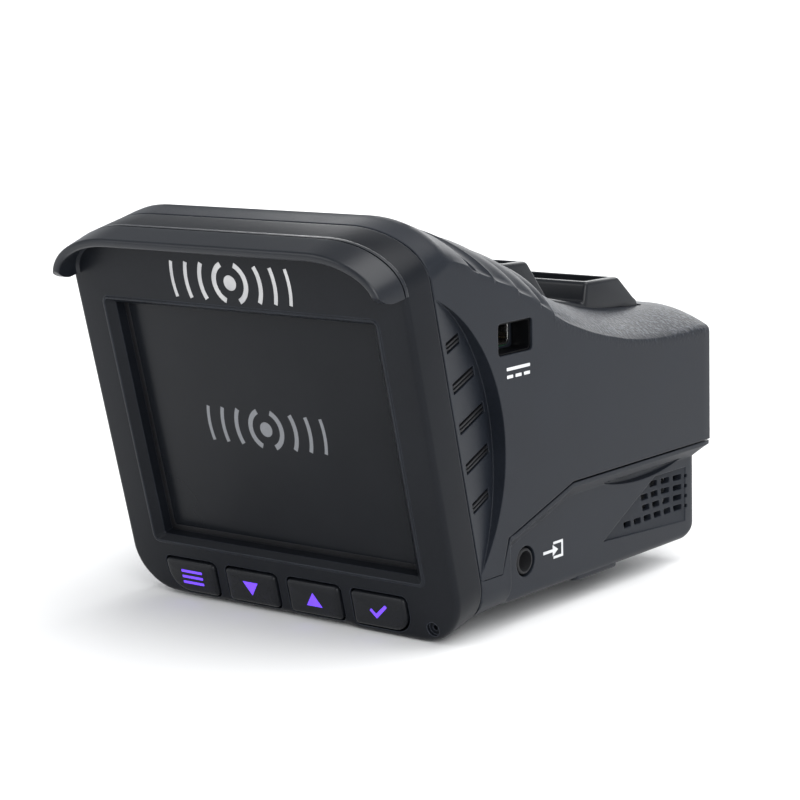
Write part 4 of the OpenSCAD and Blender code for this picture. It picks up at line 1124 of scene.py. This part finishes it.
def buildPrint():
    # direct-current sign under the port: a line over three dashes
    y, z = 23.8, 11.0
    marks = [bar(y, z + 0.75, 6.6, 0.55, 0.1)]
    marks += [bar(y + step * 2.4, z - 0.55, 1.7, 0.55, 0.1) for step in (-1, 0, 1)]
    sideMark("powerMark", marks, roof["half"])
    # input sign by the jack: an arrow into a frame
    y, z = 35.2, -22.1
    arrow = [(y - 3.4, z - 0.26), (y - 0.6, z - 0.26), (y - 0.6, z - 1.0), (y + 1.0, z), (y - 0.6, z + 1.0),
             (y - 0.6, z + 0.26), (y - 3.4, z + 0.26)]
    frameMark = [(y - 0.4, z + 1.5), (y - 0.4, z + 1.05), (y + 2.0, z + 1.05), (y + 2.0, z - 1.05),
                 (y - 0.4, z - 1.05), (y - 0.4, z - 1.5), (y + 2.5, z - 1.5), (y + 2.5, z + 1.5)]
    sideMark("videoMark", [arrow, frameMark], base["half"])


def buildRoadWindow():
    end = roof["end"]
    panel = slab("roadWindow", lambda inset: roadOutline(0.15 + inset), end - 1.15, end, roadToBody, 0.4, 4)
    carve(panel, [slab("inner", roadOutline(1.4), end - 2.1, end - 1.0, roadToBody)], "UNION")
    carve(panel, [slab("eye", disc(23.5, 0, 5.0, 48), end - 5, end + 1, roadToBody)])
    return finishPiece(panel, "housing", roadPanel, ["road_window"])


def buildFeet():
    pair = []
    floorZ = -screenCentre.z / mm
    for side, name in ((1, "rearFeet"), (-1, "footPart")):
        outline = lambda inset: disc(side * 15, base["end"] - 12, 5.0 - inset, 48)
        pair.append(slab(name, outline, base["floor"], floorZ, edge=0.7, steps=4))
    carve(pair[0], [pair[1]], "UNION")
    return finishPiece(pair[0], "housing", footRubber, ["rear_feet"])


buildCradle()
buildPowerSocket()
buildJack()
buildPrint()
buildRoadWindow()
buildFeet()
print("cradle, sockets and rear built")


nodeFinish = {
    sheetSteel: ["lcd_tray", "key_switches", "microphone", "card_socket", "speaker_basket", "speaker_magnet"],
    screwSteel: ["bracket_screws", "case_screws", "board_screws"],
    boardGreen: ["key_board", "main_board", "lower_board", "camera_board"],
    chipEpoxy: ["screen_bracket", "main_chips", "lower_chips", "camera_barrel", "laser_sensor"],
    nylon: ["plunger_menu", "plunger_down", "plunger_up", "plunger_ok"],
    ceramic: ["gps_antenna", "radar_board"],
    insertPlastic: ["louvre_right", "louvre_left"],
    lcdGlass: ["lcd_panel"], diffuser: ["backlight"], goldFlash: ["jack_contacts"],
    cellFoil: ["backup_battery"],
    conePaper: ["speaker_cone"], castMetal: ["radar_horn"], lensGlass: ["camera_lens", "laser_lens"],
}
for material, names in nodeFinish.items():
    for name in names:
        for slotOfNode in nodes[name].material_slots:
            slotOfNode.material = material
print("inner pieces finished")


stage = {"wide": 24.0, "pale": (0.92, 0.92, 0.92)}
camera = {"azimuth": 38.83, "elevation": 10.13, "roll": -1.5, "distance": 0.407, "aim": (17.9, 16.1, 5.6),
          "lens": 108, "sensor": 36}


def buildStage():
    half = stage["wide"] / 2
    floor = newPiece("floor", [(-half, -half, 0), (half, -half, 0), (half, half, 0), (-half, half, 0)],
                     [(0, 1, 2, 3)])
    material, tree, shader, place = startMaterial("paleFloor")
    cloud = noise(tree, place, 40, 3)
    pale = mixColours(tree, cloud, stage["pale"], tuple(x * 0.99 for x in stage["pale"]))
    feed(tree, shader, {"Base Color": pale, "Roughness": 0.7, "Specular IOR Level": 0.1})
    floor.data.materials.append(material)


lights = {
    "horizon": (0.08, 0.5, 1.05, 0.32), "sky": (0.93, 0.962, 1, 1),
    "sun": 2.7, "sunWide": 60, "sunFrom": (0.34, 0.16, 0.92),
    "boxes": [("fillLight", (-0.22, -0.34, 0.3), (-0.02, -0.03, 0.04), (0.25, 0.25), 0.45),
              ("sideLight", (0.5, -0.42, 0.3), (0.03, 0, 0.03), (0.3, 0.3), 2.2),
              ("edgeLight", (-0.28, 0.72, 0.36), (0.02, 0.03, 0.04), (0.7, 0.35), 2.4)],
}


def addLight(name, kind, power, turn):
    lamp = bpy.data.lights.new(name, kind)
    lamp.energy = power
    holder = bpy.data.objects.new(name, lamp)
    holder.rotation_euler = turn.to_euler()
    bpy.context.scene.collection.objects.link(holder)
    return lamp, holder


def softBox(name, spot, aim, size, power):
    turn = (Vector(aim) - Vector(spot)).to_track_quat("-Z", "Y")
    lamp, holder = addLight(name, "AREA", power, turn)
    lamp.shape = "RECTANGLE"
    lamp.size, lamp.size_y = size
    holder.location = spot


def buildLight():
    # pale walls at the horizon under a dimmer ceiling, and one broad soft source from the right and above
    world = bpy.data.worlds.new("studio")
    bpy.context.scene.world = world
    world.use_nodes = True
    tree = world.node_tree
    around = addNode(tree, "ShaderNodeTexCoord").outputs["Generated"]
    way = addNode(tree, "ShaderNodeSeparateXYZ", {0: around})
    strength = ranged(tree, way.outputs["Z"], *lights["horizon"])
    feed(tree, tree.nodes["Background"], {"Color": lights["sky"], "Strength": strength})
    sun = addLight("softSource", "SUN", lights["sun"], Vector(lights["sunFrom"]).to_track_quat("Z", "Y"))[0]
    sun.angle = math.radians(lights["sunWide"])
    for box in lights["boxes"]:
        softBox(*box)
    view = bpy.context.scene.view_settings
    view.view_transform = "Standard"
    view.exposure = 0.0


def buildCamera():
    a, e, r = (math.radians(camera[key]) for key in ("azimuth", "elevation", "roll"))
    back = Vector((math.sin(a) * math.cos(e), -math.cos(a) * math.cos(e), math.sin(e)))
    data = bpy.data.cameras.new("camera")
    data.lens, data.sensor_width = camera["lens"], camera["sensor"]
    data.clip_start, data.clip_end = 0.01, 60
    piece = bpy.data.objects.new("camera", data)
    level = (-back).to_track_quat("-Z", "Y").to_matrix().to_4x4()
    piece.matrix_world = (Matrix.Translation(bodyToRow @ Vector(camera["aim"]) + back * camera["distance"])
                          @ level @ Matrix.Rotation(r, 4, "Z"))
    bpy.context.scene.collection.objects.link(piece)
    bpy.context.scene.camera = piece


buildStage()
buildLight()
buildCamera()
print("stage ready")
